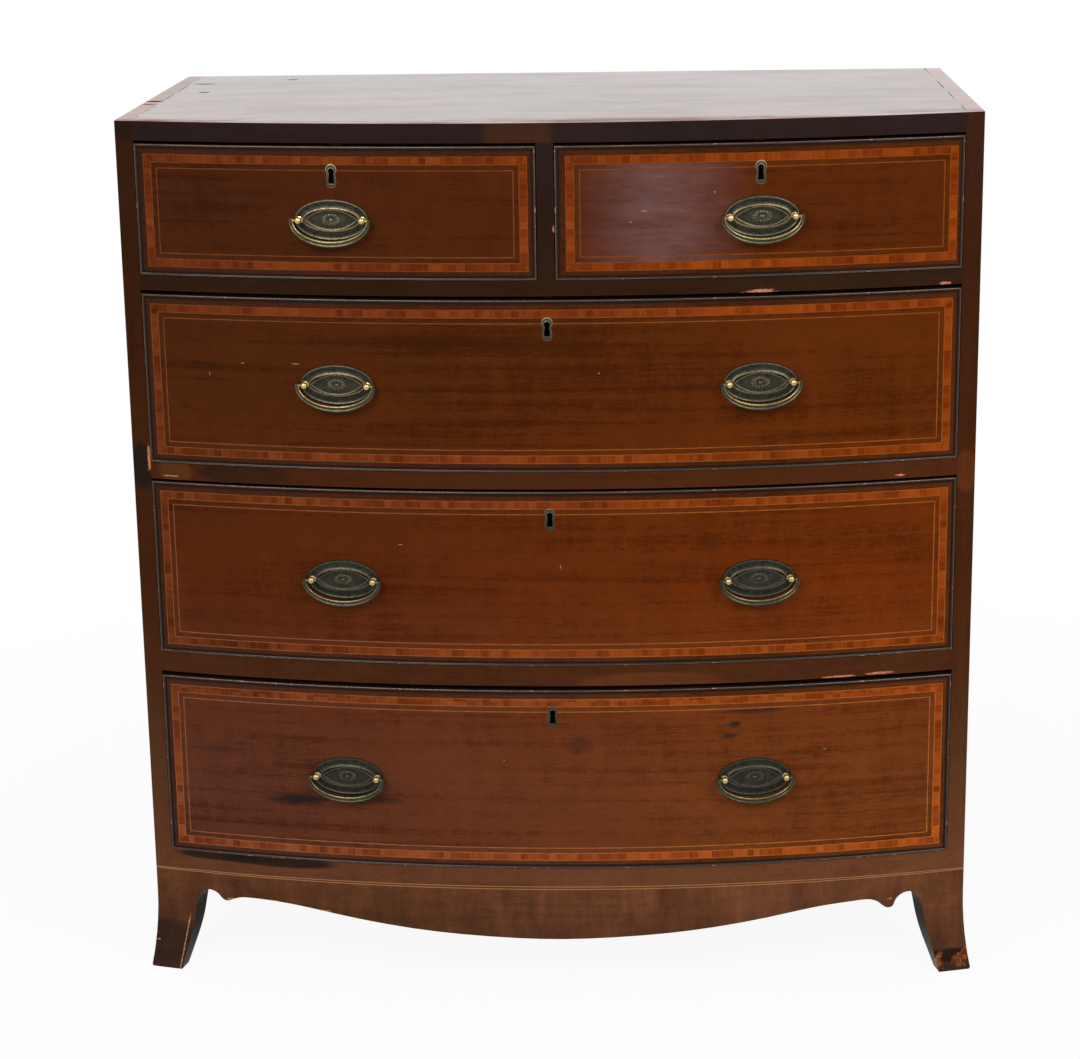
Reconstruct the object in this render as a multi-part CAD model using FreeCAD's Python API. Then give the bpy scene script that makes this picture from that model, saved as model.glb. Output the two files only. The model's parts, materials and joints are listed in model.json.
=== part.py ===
import FreeCAD, Part
import math
import os
from FreeCAD import Placement, Rotation, Vector

# A bow front chest of drawers of about 1790: two short and three long drawers, a veneered top,
# a shaped apron and splayed bracket feet. Millimetres, front towards -Y, floor at Z = 0.
# While it is being made, Y = 0 is the plane through the front corners of the two sides.
# At the end every piece is moved along Y, so that the whole chest stands centred on the origin.

os.makedirs("parts", exist_ok=True)

# ---------------------------------------------------------------- overall sizes
chest_width = 1016.0
chest_height = 1072.0
side_depth = 519.0
bow_depth = 69.0
half_width = chest_width / 2
bow_radius = (half_width ** 2 + bow_depth ** 2) / (2 * bow_depth)
bow_centre_y = bow_radius - bow_depth
bow_sweep = 40.0

# ---------------------------------------------------------------- carcase boards
side_thick = 22.0
veneer_thick = 1.2
top_thick = 21.5
back_thick = 10.0
back_rebate = 10.0
back_plank_count = 4
back_plank_lap = 8.0
back_plank_gap = 0.4
base_top = 133.0
housing_deep = 6.0
dustboard_thick = 10.0
rail_back_y = 45.0
rail_set_back = 14.0
rail_shoulder = 3.0
opening_half = half_width - side_thick
carcase_top = chest_height - veneer_thick
top_underside = carcase_top - top_thick
back_inside_y = side_depth - back_thick

# The rails and the drawers grow taller downwards. Each opening is a share of the clear height.
upper_rail_thick = 18.5
middle_rail_thick = 20.7
lower_rail_thick = 25.6
bottom_rail_thick = 26.0
short_opening_share = 0.1926
long_top_opening_share = 0.2551
long_middle_opening_share = 0.2659

bottom_rail_top = base_top + bottom_rail_thick
between_rails = upper_rail_thick + middle_rail_thick + lower_rail_thick
clear_height = top_underside - bottom_rail_top - between_rails
upper_rail_top = top_underside - short_opening_share * clear_height
long_top_ceiling = upper_rail_top - upper_rail_thick
middle_rail_top = long_top_ceiling - long_top_opening_share * clear_height
long_middle_ceiling = middle_rail_top - middle_rail_thick
lower_rail_top = long_middle_ceiling - long_middle_opening_share * clear_height
long_bottom_ceiling = lower_rail_top - lower_rail_thick

# ---------------------------------------------------------------- carcase joints
top_tail_count = 5
top_tail_long = 16.0
top_tail_root = 44.0
top_tail_flare = 6.0
top_tail_first_y = 62.0
top_tail_last_y = 470.0
muntin_wide = 20.0
muntin_deep = 60.0
muntin_tenon_wide = 8.0
muntin_tenon_deep = 30.0
muntin_tenon_long = 6.0
guide_tall = 25.0
kicker_tall = 8.0
stop_tall = 5.0
stop_deep = 20.0
stop_half = 18.0
stop_gap = 0.4
short_stop_places = (110.0, 390.0)
long_stop_place = 150.0

# ---------------------------------------------------------------- base
foot_flare = 11.0
flare_start = 100.0
apron_thick = 20.0
side_apron_thick = 18.0
foot_join_in = 66.2
foot_join_x = half_width - foot_join_in
foot_depth = 85.0
foot_join_height = 108.2
glue_block = 22.0
glue_block_long = 70.0
side_block_places = (110.0, 260.0, 410.0)
apron_block_half = 25.0
apron_block_gap = 0.2
apron_block_places = (70.0, 200.0, 330.0)

# Lower edge of the front, from the foot's toe inwards: distance in from the corner, height.
# The left and the right tip of the apron differ a little, as they were sawn by hand.
# The inner edge of a foot is bevelled, little at the toe and most at the neck, so that its back is
# wider than its face: the third number is the width of the bevel.
foot_toe = (28.2, 0.0, 6.0)
foot_ankle = (34.5, 30.0, 11.0)
foot_calf = (42.8, 70.0, 15.5)
foot_neck = (47.6, 94.0, 15.5)
foot_bevel_start_y = -24.0
foot_bevel_end_y = 2.0
foot_corner_block = 32.0
toe_round = 2.5
apron_arch = [(foot_join_in, foot_join_height), (74.0, 108.0)]
apron_left_nib = [(83.0, 102.0), (87.0, 97.6), (91.5, 96.0), (100.0, 98.2), (108.0, 101.2)]
apron_right_nib = [(83.0, 102.8), (86.4, 98.2), (89.4, 91.2), (94.6, 89.2), (100.0, 91.2), (108.4, 98.4)]
apron_shoulder = [(121.0, 102.4), (136.0, 102.0), (174.0, 98.9)]

# From the shoulders to the middle the edge is one long sweep: share of the half width, height.
apron_sweep = [(0.531, 88.5), (0.407, 78.8), (0.283, 71.8), (0.161, 67.6)]
apron_middle_height = 65.0

# The side bracket has the same toe and neck, measured back from the front corner.
side_toe_deep = 30.0
side_calf = (44.0, 50.0)
side_neck = (66.0, 96.0)
side_nib = (112.0, 95.0)
side_shoulder = (136.0, 102.0)

# ---------------------------------------------------------------- drawers
drawer_side_gap = 0.8
drawer_under_gap = 0.3
front_thick = 24.0
end_pad = 14.0
lining_thick = 9.5
lining_drop = 6.0
drawer_back_thick = 10.0
drawer_back_drop = 6.0
space_behind_drawers = 17.0
drawer_back_y = back_inside_y - space_behind_drawers
bottom_thick = 6.0
bottom_above_edge = 7.0
bottom_groove = 4.0
bottom_slack = 0.2
front_tail_long = 16.0
tail_gap = 8.0
tail_flare = 2.4
bead_thick = 3.2
bead_deep = 8.0
bead_proud = 1.6
bead_step = 0.2
bead_nose_flat = 1.2
mitre_margin = 1.0
cut_margin = 1.0

# What differs from drawer to drawer: the gap above it, its number of dovetails, the height of
# its handles as a share of its own height, and how far they were bored off the middle.
top_gap = {"short": 3.4, "long_top": 4.2, "long_middle": 2.8, "long_bottom": 5.0}
tail_count = {"short": 4, "long_top": 5, "long_middle": 5, "long_bottom": 6}
handle_height = {"short": 0.451, "long_top": 0.502, "long_middle": 0.4815, "long_bottom": 0.495}
handle_shift = {"short": 0.0, "long_top": -0.5, "long_middle": -1.0, "long_bottom": -4.5}

# ---------------------------------------------------------------- lock and keyhole
key_below_top = 34.5
keyhole_head_radius = 3.6
keyhole_half_tall = 8.9
keyhole_waist = 2.95
keyhole_foot = 3.6
scutcheon_head_radius = 6.65
scutcheon_half_tall = 14.0
scutcheon_waist = 5.0
scutcheon_foot = 6.6
scutcheon_thick = 2.0
scutcheon_proud = 0.3
lock_half_wide = 28.0
lock_front = 11.0
lock_back = 23.0
lock_tall = 48.0
lock_slack = 0.2
selvedge_half_wide = 33.0
selvedge_thick = 1.5
bolt_half_wide = 6.0
bolt_front = 14.6
bolt_back = 19.4
bolt_tall = 21.0
bolt_slack = 0.4
bolt_travel = 8.0
bolt_sink = 0.3
lock_floor = 2.5
mortise_slack = 1.0
mortise_deep = 7.0

# ---------------------------------------------------------------- handles
handle_place_share = 0.5144
post_half_spacing = 37.8
plate_half_wide = 44.5
plate_half_tall = 24.4
plate_thick = 1.4
plate_bevel = 0.7
platform_half_wide = 33.0
platform_half_tall = 17.0
platform_proud = 2.2
boss_half_wide = 29.0
boss_half_tall = 10.5
boss_top_half_wide = 23.0
boss_top_half_tall = 7.0
boss_proud = 4.0
rosette_half_wide = 10.8
rosette_half_tall = 7.2
rosette_proud = 4.9
pivot_proud = 9.0
ball_radius = 4.3
collar_radius = 4.0
collar_thick = 1.8
collar_slope = 0.6
neck_radius = 2.2
shank_radius = 2.2
shank_hole_slack = 0.3
nut_half_wide = 5.5
nut_thick = 3.0
nut_gap = 0.65
shank_past_nut = 1.5
pin_radius = 1.6
pin_slack = 0.1
bail_half_wide = 49.0
bail_drop = 31.5
bail_inner_half_wide = 43.6
bail_inner_drop = 25.0
bail_thick = 4.4
bail_bevel = 1.4
bail_end_rise = 2.2
pin_reach = 3.0
pin_inside_bail = 1.0

far = 200.0
tiny = 1e-6


# ---------------------------------------------------------------- making shapes
def box(x0, x1, y0, y1, z0, z1):
    return Part.makeBox(x1 - x0, y1 - y0, z1 - z0, Vector(x0, y0, z0))


def bow_y(x, inset=0.0):
    """Y of the bow at x. inset is how far behind the face it lies."""
    return bow_centre_y - math.sqrt((bow_radius - inset) ** 2 - x ** 2)


def bow_edge(x0, x1, inset, z):
    """The bow's curve from x0 to x1, lying flat at height z."""
    middle = (x0 + x1) / 2
    ends = [Vector(x, bow_y(x, inset), z) for x in (x0, middle, x1)]
    return Part.Arc(*ends).toShape()


def straight(points):
    return Part.makePolygon(points).Edges


def upright(edges, tall):
    """Raises a closed outline drawn in plan into a solid."""
    face = Part.Face(Part.Wire(Part.__sortEdges__(edges)))
    return face.extrude(Vector(0, 0, tall))


def bow_panel(x0, x1, z0, z1, inset, back_y):
    """A board with a bowed front edge and a straight back."""
    edges = [bow_edge(x0, x1, inset, z0)]
    edges += straight([
        Vector(x1, bow_y(x1, inset), z0),
        Vector(x1, back_y, z0),
        Vector(x0, back_y, z0),
        Vector(x0, bow_y(x0, inset), z0),
    ])
    return upright(edges, z1 - z0)


def bow_slab(x0, x1, z0, z1, inset, back_inset):
    """A curved board, front and back both following the bow."""
    edges = [bow_edge(x0, x1, inset, z0), bow_edge(x0, x1, back_inset, z0)]
    for x in (x0, x1):
        edges += straight([Vector(x, bow_y(x, inset), z0), Vector(x, bow_y(x, back_inset), z0)])
    return upright(edges, z1 - z0)


def prism_y(points, y0, y1):
    """A solid with an outline in X and Z, running from y0 to y1."""
    corners = [Vector(x, y0, z) for x, z in points]
    face = Part.Face(Part.makePolygon(corners + corners[:1]))
    return face.extrude(Vector(0, y1 - y0, 0))


def prism_x(points, x0, x1):
    """A solid with an outline in Y and Z, running from x0 to x1."""
    corners = [Vector(x0, y, z) for y, z in points]
    face = Part.Face(Part.makePolygon(corners + corners[:1]))
    return face.extrude(Vector(x1 - x0, 0, 0))


def on_front(shape, along, z):
    """Sets a piece drawn around the origin on the bow: X along it, +Y into the wood."""
    angle = along / bow_radius
    x = bow_radius * math.sin(angle)
    placed = shape.copy()
    placed.Placement = Placement(
        Vector(x, bow_y(x), z), Rotation(Vector(0, 0, 1), math.degrees(angle))
    ).multiply(shape.Placement)
    return placed


def mirrored(shape):
    return shape.mirror(Vector(0, 0, 0), Vector(1, 0, 0))


def joined(shapes):
    whole = shapes[0].fuse(shapes[1:]) if len(shapes) > 1 else shapes[0]
    return whole.removeSplitter()


pieces = {}


def keep(node, shapes):
    pieces[node] = Part.makeCompound([solid for shape in shapes for solid in shape.Solids])


# ---------------------------------------------------------------- carcase
rails = [
    (upper_rail_top, upper_rail_thick),
    (middle_rail_top, middle_rail_thick),
    (lower_rail_top, lower_rail_thick),
    (bottom_rail_top, bottom_rail_thick),
]


def top_tails():
    """The wedge shaped tails on the right end of the top, lapped inside the side."""
    step = (top_tail_last_y - top_tail_first_y) / (top_tail_count - 1)
    tails = []
    for number in range(top_tail_count):
        y = top_tail_first_y + number * step
        root = top_tail_root / 2
        tip = root + top_tail_flare
        corners = [
            Vector(opening_half, y - root, top_underside),
            Vector(opening_half + top_tail_long, y - tip, top_underside),
            Vector(opening_half + top_tail_long, y + tip, top_underside),
            Vector(opening_half, y + root, top_underside),
        ]
        tails.append(upright(straight(corners + corners[:1]), top_thick))
    return tails


def rail_housing(rail_top, thick):
    """The stub tenon on the right end of a rail, and the same hollow in the side."""
    return box(
        opening_half, opening_half + housing_deep,
        bow_y(opening_half) + rail_set_back, rail_back_y,
        rail_top - thick + rail_shoulder, rail_top - rail_shoulder,
    )


def board_housing(rail_top):
    return box(
        opening_half, opening_half + housing_deep,
        rail_back_y, back_inside_y, rail_top - dustboard_thick, rail_top,
    )


def make_right_side():
    side = bow_panel(opening_half, half_width, base_top, carcase_top, 0.0, side_depth)
    rebate = box(
        opening_half, opening_half + back_rebate, back_inside_y, side_depth, base_top, carcase_top
    )
    hollows = [rebate] + top_tails()
    for rail_top, thick in rails:
        hollows.append(rail_housing(rail_top, thick))
        hollows.append(board_housing(rail_top))
    return side.cut(hollows)


def bolt_mortise(along, underside):
    """The hollow that a lock's bolt rises into."""
    hollow = box(
        -bolt_half_wide - mortise_slack, bolt_half_wide + mortise_slack,
        bolt_front - mortise_slack, bolt_back + mortise_slack,
        0.0, mortise_deep,
    )
    return on_front(hollow, along, underside)


def muntin_tenon(z0, z1):
    middle_y = bow_y(0) + muntin_deep / 2
    return box(
        -muntin_tenon_wide / 2, muntin_tenon_wide / 2,
        middle_y - muntin_tenon_deep / 2, middle_y + muntin_tenon_deep / 2, z0, z1,
    )


def make_top_board(short_lock):
    board = bow_panel(-opening_half, opening_half, top_underside, carcase_top, 0.0, back_inside_y)
    tails = top_tails()
    board = joined([board] + tails + [mirrored(tail) for tail in tails])
    hollows = [
        bolt_mortise(-short_lock, top_underside),
        bolt_mortise(short_lock, top_underside),
        muntin_tenon(top_underside, top_underside + muntin_tenon_long),
    ]
    return board.cut(hollows)


def make_rails():
    made = []
    for rail_top, thick in rails:
        underside = rail_top - thick
        rail = bow_panel(-opening_half, opening_half, underside, rail_top, 0.0, rail_back_y)
        tenon = rail_housing(rail_top, thick)
        rail = joined([rail, tenon, mirrored(tenon)])
        hollows = []
        if rail_top != bottom_rail_top:
            hollows.append(bolt_mortise(0.0, underside))
        if rail_top == upper_rail_top:
            hollows.append(muntin_tenon(rail_top - muntin_tenon_long, rail_top))
        made.append(rail.cut(hollows) if hollows else rail)
    return made


def make_muntin():
    post = bow_panel(
        -muntin_wide / 2, muntin_wide / 2, upper_rail_top, top_underside, 0.0,
        bow_y(0) + muntin_deep,
    )
    tenon = muntin_tenon(upper_rail_top - muntin_tenon_long, top_underside + muntin_tenon_long)
    return joined([post, tenon])


def make_dustboards():
    reach = opening_half + housing_deep
    return [
        box(-reach, reach, rail_back_y, back_inside_y, rail_top - dustboard_thick, rail_top)
        for rail_top, thick in rails
    ]


def make_back_boards():
    """Upright planks, half lapped edge to edge, set in the rebates of the sides."""
    reach = opening_half + back_rebate
    pitch = 2 * reach / back_plank_count
    planks = []
    for number in range(back_plank_count):
        left = -reach + number * pitch
        right = left + pitch
        middle_y = back_inside_y + back_thick / 2
        outer_left = left + (back_plank_gap if number else 0.0)
        inner_right = right
        if number < back_plank_count - 1:
            inner_right = right + back_plank_lap
        inner_left = left + (back_plank_lap + back_plank_gap if number else 0.0)
        inner = box(inner_left, inner_right, back_inside_y, middle_y, base_top, carcase_top)
        outer = box(outer_left, right, middle_y, side_depth, base_top, carcase_top)
        planks.append(joined([inner, outer]))
    return planks


def drawer_stop(along, rail_top):
    """A small block on a rail that the back of a drawer front comes up against."""
    face = front_thick + stop_gap
    block = box(-stop_half, stop_half, face, face + stop_deep, 0.0, stop_tall)
    return on_front(block, along, rail_top)


def make_guides():
    half = muntin_wide / 2
    start_y = bow_y(0) + muntin_deep
    guide = box(-half, half, start_y, back_inside_y, upper_rail_top, upper_rail_top + guide_tall)
    kicker = box(-half, half, start_y, back_inside_y, top_underside - kicker_tall, top_underside)
    stops = []
    for side in (-1, 1):
        stops += [drawer_stop(side * place, upper_rail_top) for place in short_stop_places]
        stops += [drawer_stop(side * long_stop_place, rail_top) for rail_top, thick in rails[1:]]
    return [guide, kicker] + stops


# ---------------------------------------------------------------- base
def curve_xz(points, y):
    curve = Part.BSplineCurve()
    curve.interpolate([Vector(x, y, z) for x, z in points])
    return curve.toShape()


def flare_edge(radius_out, turn):
    """The hollow curve of a splayed foot, from where the flare starts down to the floor."""
    curve_radius = (flare_start ** 2 + foot_flare ** 2) / (2 * foot_flare)
    half_way = flare_start / 2
    out = curve_radius - math.sqrt(curve_radius ** 2 - half_way ** 2)
    points = [
        turn(radius_out, flare_start),
        turn(radius_out + out, flare_start - half_way),
        turn(radius_out + foot_flare, 0.0),
    ]
    return Part.Arc(*points).toShape()


def closed_prism(edges, along):
    return Part.Face(Part.Wire(Part.__sortEdges__(edges))).extrude(along)


def foot_outline(y, bevelled):
    """The right foot seen from the front. Behind its bevel it is wider than at its face."""

    def turn(x, z):
        return Vector(x, y, z)

    inner = []
    for inwards, z, bevel in (foot_toe, foot_ankle, foot_calf, foot_neck):
        inner.append((half_width - inwards - (bevel if bevelled else 0.0), z))
    inner.append((foot_join_x, foot_join_height))
    top = Part.makePolygon([
        turn(foot_join_x, foot_join_height), turn(foot_join_x, base_top),
        turn(half_width, base_top), turn(half_width, flare_start),
    ])
    sole = Part.makePolygon([turn(half_width + foot_flare, 0.0), turn(*inner[0])])
    edges = [curve_xz(inner, y)] + top.Edges + [flare_edge(half_width, turn)] + sole.Edges
    return Part.Wire(edges)


def foot_block():
    """The foot's front outline made solid, bevelled near the face and straight behind."""
    face_outline = foot_outline(foot_bevel_start_y, False)
    back_outline = foot_outline(foot_bevel_end_y, True)
    bevelled = Part.makeLoft([face_outline, back_outline], True, True)
    behind = Part.Face(back_outline).extrude(Vector(0, side_depth, 0))
    return bevelled.fuse(behind)


def foot_bow_body():
    """A turned body whose outside is the bow, flaring out below like the foot."""
    inside = bow_radius - 2 * far

    def turn(radius, z):
        return Vector(0, bow_centre_y - radius, z)

    edges = [flare_edge(bow_radius, turn)]
    edges += straight([
        turn(bow_radius, flare_start), turn(bow_radius, base_top), turn(inside, base_top),
        turn(inside, 0.0), turn(bow_radius + foot_flare, 0.0),
    ])
    face = Part.Face(Part.Wire(Part.__sortEdges__(edges)))
    return face.revolve(Vector(0, bow_centre_y, 0), Vector(0, 0, 1), bow_sweep / 2)


def foot_side_outline(front):
    """The foot seen from the side: toe, hollow neck and the top where the side apron starts."""
    x = -far

    def turn(y, z):
        return Vector(x, y, z) if front else Vector(x, side_depth - y, z)

    curve = Part.BSplineCurve()
    steps = [(side_toe_deep, 0.0), side_calf, side_neck, (foot_depth, foot_join_height)]
    curve.interpolate([turn(y, z) for y, z in steps])
    outer = -far if front else 0.0
    edges = [curve.toShape()]
    edges += straight([
        turn(foot_depth, foot_join_height), turn(foot_depth, base_top), turn(outer, base_top),
        turn(outer, 0.0), turn(side_toe_deep, 0.0),
    ])
    return closed_prism(edges, Vector(half_width + 2 * far, 0, 0))


def bracket_plan(front):
    """Where a bracket foot has wood: two brackets mitred at the corner and a block behind."""
    outside = half_width + far
    block_x = half_width - foot_corner_block
    side = box(half_width - side_apron_thick, outside, -far, side_depth, 0.0, base_top)
    if front:
        face = bow_slab(foot_join_x - far, outside, 0.0, base_top, -far, apron_thick)
        corner = box(block_x, outside, -far, foot_corner_block, 0.0, base_top)
    else:
        face = box(0.0, outside, side_depth - side_apron_thick, side_depth, 0.0, base_top)
        corner = box(block_x, outside, side_depth - foot_corner_block, side_depth, 0.0, base_top)
    return face.fuse([side, corner])


def make_feet():
    block = foot_block()
    front_foot = block.common(foot_side_outline(True)).common(foot_bow_body())
    back_foot = block.common(foot_side_outline(False))
    feet = []
    for foot, front in ((front_foot, True), (back_foot, False)):
        foot = foot.common(bracket_plan(front)).removeSplitter()
        sole = [
            edge for edge in foot.Edges
            if edge.BoundBox.ZMax < toe_round and edge.CenterOfMass.x > half_width
        ]
        foot = foot.makeFillet(toe_round, sole)
        feet += [foot, mirrored(foot)]
    return feet


def make_front_apron():
    """The shaped apron. Its lower edge has a cove, a small tip and a long sweep on each side."""
    y = -far
    left = [(inwards - half_width, z) for inwards, z in apron_arch + apron_left_nib + apron_shoulder]
    right = [(half_width - inwards, z) for inwards, z in apron_arch + apron_right_nib + apron_shoulder]
    left += [(-share * half_width, z) for share, z in apron_sweep]
    right += [(share * half_width, z) for share, z in apron_sweep]
    lower = left + [(0.0, apron_middle_height)] + right[::-1]
    rest = Part.makePolygon([
        Vector(foot_join_x, y, foot_join_height), Vector(foot_join_x, y, base_top),
        Vector(-foot_join_x, y, base_top), Vector(-foot_join_x, y, foot_join_height),
    ])
    outline = closed_prism([curve_xz(lower, y)] + rest.Edges, Vector(0, 2 * far, 0))
    slab = bow_slab(-foot_join_x, foot_join_x, 0.0, base_top, 0.0, apron_thick)
    return slab.common(outline)


def make_side_apron():
    near = [(foot_depth, foot_join_height), side_nib, side_shoulder]
    far_end = [(side_depth - y, z) for y, z in reversed(near)]
    outline = near + far_end + [(side_depth - foot_depth, base_top), (foot_depth, base_top)]
    return prism_x(outline, half_width - side_apron_thick, half_width)


def make_glue_blocks():
    under_board = bottom_rail_top - dustboard_thick
    blocks = []
    for y in side_block_places:
        block = box(
            opening_half - glue_block, opening_half, y - glue_block_long / 2,
            y + glue_block_long / 2, under_board - glue_block, under_board,
        )
        blocks += [block, mirrored(block)]
    block = box(
        -apron_block_half, apron_block_half, apron_thick + apron_block_gap,
        apron_thick + apron_block_gap + glue_block, -glue_block, 0.0,
    )
    for along in apron_block_places:
        blocks += [on_front(block, -along, base_top), on_front(block, along, base_top)]
    return blocks


# ---------------------------------------------------------------- drawer boxes
def tail_centres(z0, z1, count):
    pitch = (z1 - z0) / count
    return [z0 + pitch * (number + 0.5) for number in range(count)], pitch - tail_gap


def tails(x0, x1, root_y, tip_y, z0, z1, count):
    """Tails across the thickness of one lining, wider at the tip than at the root."""
    made = []
    centres, tall = tail_centres(z0, z1, count)
    for z in centres:
        tip = tall / 2
        root = tip - tail_flare
        outline = [(root_y, z - root), (tip_y, z - tip), (tip_y, z + tip), (root_y, z + root)]
        made.append(prism_x(outline, x0, x1))
    return made


def pad_y(x_end, inward):
    """The flat back of the drawer front at its end, where a lining butts against it."""
    return max(bow_y(x_end, front_thick), bow_y(x_end + inward * end_pad, front_thick))


def keyhole_shape(head_radius, half_tall, waist, foot, y0, y1):
    head_z = half_tall - head_radius
    head = Part.makeCylinder(head_radius, y1 - y0, Vector(0, y0, head_z), Vector(0, 1, 0))
    stem = prism_y(
        [(-waist, head_z), (-foot, -half_tall), (foot, -half_tall), (waist, head_z)], y0, y1
    )
    return joined([head, stem])


def bead_mitres(x0, x1, z0, z1):
    """Outlines that mitre the four strips of cockbead at 45 degrees. They run past the strips."""
    m = mitre_margin
    t = bead_thick + mitre_margin
    return {
        "top": [(x0 - m, z1 + m), (x1 + m, z1 + m), (x1 - t, z1 - t), (x0 + t, z1 - t)],
        "bottom": [(x0 - m, z0 - m), (x0 + t, z0 + t), (x1 - t, z0 + t), (x1 + m, z0 - m)],
        "left": [(x0 - m, z0 - m), (x0 - m, z1 + m), (x0 + t, z1 - t), (x0 + t, z0 + t)],
        "right": [(x1 + m, z0 - m), (x1 - t, z0 + t), (x1 - t, z1 - t), (x1 + m, z1 + m)],
    }


def lying_bead(z0):
    """A strip of cockbead bent along the bow, its nose eased, long enough for any drawer."""

    def turn(inset, z):
        return Vector(0, bow_centre_y - bow_radius + inset, z)

    z1 = z0 + bead_thick
    ease = (bead_thick - bead_nose_flat) / 2
    profile = [
        turn(bead_deep, z0), turn(-bead_step, z0), turn(-bead_proud, z0 + ease),
        turn(-bead_proud, z1 - ease), turn(-bead_step, z1), turn(bead_deep, z1),
    ]
    face = Part.Face(Part.makePolygon(profile + profile[:1]))
    axis = Vector(0, bow_centre_y, 0)
    strip = face.revolve(axis, Vector(0, 0, 1), bow_sweep)
    strip.rotate(axis, Vector(0, 0, 1), -bow_sweep / 2)
    return strip


def standing_bead(x0, z0, z1):
    """The same strip standing upright at one end of a drawer front."""

    def turn(x, inset):
        return Vector(x, bow_y(x, inset), z0)

    x1 = x0 + bead_thick
    ease = (bead_thick - bead_nose_flat) / 2
    profile = [
        turn(x0, bead_deep), turn(x0, -bead_step), turn(x0 + ease, -bead_proud),
        turn(x1 - ease, -bead_proud), turn(x1, -bead_step), turn(x1, bead_deep),
    ]
    return upright(straight(profile + profile[:1]), z1 - z0)


def make_beads(x0, x1, z0, z1):
    shapes = {
        "top": lying_bead(z1 - bead_thick),
        "bottom": lying_bead(z0),
        "left": standing_bead(x0, z0, z1),
        "right": standing_bead(x1 - bead_thick, z0, z1),
    }
    outlines = bead_mitres(x0, x1, z0, z1)
    return [shapes[edge].common(prism_y(outlines[edge], -far, far)) for edge in shapes]


def front_plan(x0, x1, z):
    """Plan of a drawer front: bowed inside and out, with a flat pad at each end."""
    left_y = pad_y(x0, 1)
    right_y = pad_y(x1, -1)
    inner_left = x0 + end_pad
    inner_right = x1 - end_pad
    edges = [bow_edge(x0, x1, 0.0, z), bow_edge(inner_left, inner_right, front_thick, z)]
    edges += straight([
        Vector(x0, bow_y(x0), z), Vector(x0, left_y, z), Vector(inner_left, left_y, z),
    ])
    edges += straight([
        Vector(x1, bow_y(x1), z), Vector(x1, right_y, z), Vector(inner_right, right_y, z),
    ])
    for x, y in ((inner_left, left_y), (inner_right, right_y)):
        if abs(y - bow_y(x, front_thick)) > tiny:
            edges += straight([Vector(x, y, z), Vector(x, bow_y(x, front_thick), z)])
    return edges


def make_front(drawer, side_tails):
    x0, x1, z0, z1 = drawer["x0"], drawer["x1"], drawer["z0"], drawer["z1"]
    front = upright(front_plan(x0, x1, z0), z1 - z0)
    rebate = bow_slab(
        x0 - cut_margin, x1 + cut_margin, z0 - cut_margin, z1 + cut_margin, -cut_margin, bead_deep
    )
    field = bow_slab(
        x0 + bead_thick, x1 - bead_thick, z0 + bead_thick, z1 - bead_thick, -cut_margin, bead_deep
    )
    groove_z = z0 + bottom_above_edge
    groove = bow_panel(
        x0 + lining_thick - bottom_groove, x1 - lining_thick + bottom_groove,
        groove_z, groove_z + bottom_thick, front_thick - bottom_groove, far,
    )
    key_z = z1 - key_below_top
    keyhole = keyhole_shape(
        keyhole_head_radius, keyhole_half_tall, keyhole_waist, keyhole_foot, -cut_margin, front_thick
    )
    scutcheon = keyhole_shape(
        scutcheon_head_radius, scutcheon_half_tall, scutcheon_waist, scutcheon_foot,
        -cut_margin, scutcheon_thick - scutcheon_proud,
    )
    lock_bed = joined([
        box(
            -lock_half_wide - lock_slack, lock_half_wide + lock_slack,
            lock_front, front_thick + cut_margin, z1 - lock_tall - lock_slack, z1 + cut_margin,
        ),
        box(
            -selvedge_half_wide - lock_slack, selvedge_half_wide + lock_slack,
            lock_front - lock_slack, front_thick + cut_margin, z1 - selvedge_thick, z1 + cut_margin,
        ),
    ])
    hollows = side_tails + [
        rebate.cut(field),
        groove,
        on_front(keyhole, drawer["key"], key_z),
        on_front(scutcheon, drawer["key"], key_z),
        on_front(lock_bed, drawer["key"], 0.0),
    ]
    for along in drawer["handles"]:
        for side in (-1, 1):
            hole = Part.makeCylinder(
                shank_radius + shank_hole_slack, front_thick + 2 * cut_margin,
                Vector(side * post_half_spacing, -cut_margin, 0), Vector(0, 1, 0)
            )
            hollows.append(on_front(hole, along, drawer["handle_z"]))
    return front.cut(hollows)


def make_linings(drawer):
    """Two sides and a back. Lapped tails meet the front, through tails meet the back."""
    x0, x1, z0 = drawer["x0"], drawer["x1"], drawer["z0"]
    top = drawer["z1"] - lining_drop
    groove_z = z0 + bottom_above_edge
    back_y = drawer_back_y
    back_front = back_y - drawer_back_thick
    linings = []
    front_tails = []
    back_sockets = []
    for left, inward, end in ((x0, 1, x0), (x1 - lining_thick, -1, x1)):
        right = left + lining_thick
        shoulder = pad_y(end, inward)
        lapped = tails(left, right, shoulder, shoulder - front_tail_long, z0, top, drawer["tails"])
        through = tails(
            left, right, back_front, back_y, groove_z + bottom_thick, top - drawer_back_drop,
            drawer["tails"],
        )
        board = box(left, right, shoulder, back_front, z0, top)
        groove = box(
            right - bottom_groove if inward > 0 else left,
            right if inward > 0 else left + bottom_groove,
            shoulder - far, back_y + cut_margin, groove_z, groove_z + bottom_thick,
        )
        linings.append(joined([board] + lapped + through).cut(groove))
        front_tails += lapped
        back_sockets += through
    back = box(x0, x1, back_front, back_y, groove_z + bottom_thick, top - drawer_back_drop)
    linings.append(back.cut(back_sockets))
    return linings, front_tails


def make_bottom(drawer):
    x0 = drawer["x0"] + lining_thick - bottom_groove + bottom_slack
    x1 = drawer["x1"] - lining_thick + bottom_groove - bottom_slack
    z0 = drawer["z0"] + bottom_above_edge
    front_inset = front_thick - bottom_groove + bottom_slack
    return bow_panel(x0, x1, z0, z0 + bottom_thick, front_inset, drawer_back_y)


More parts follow.
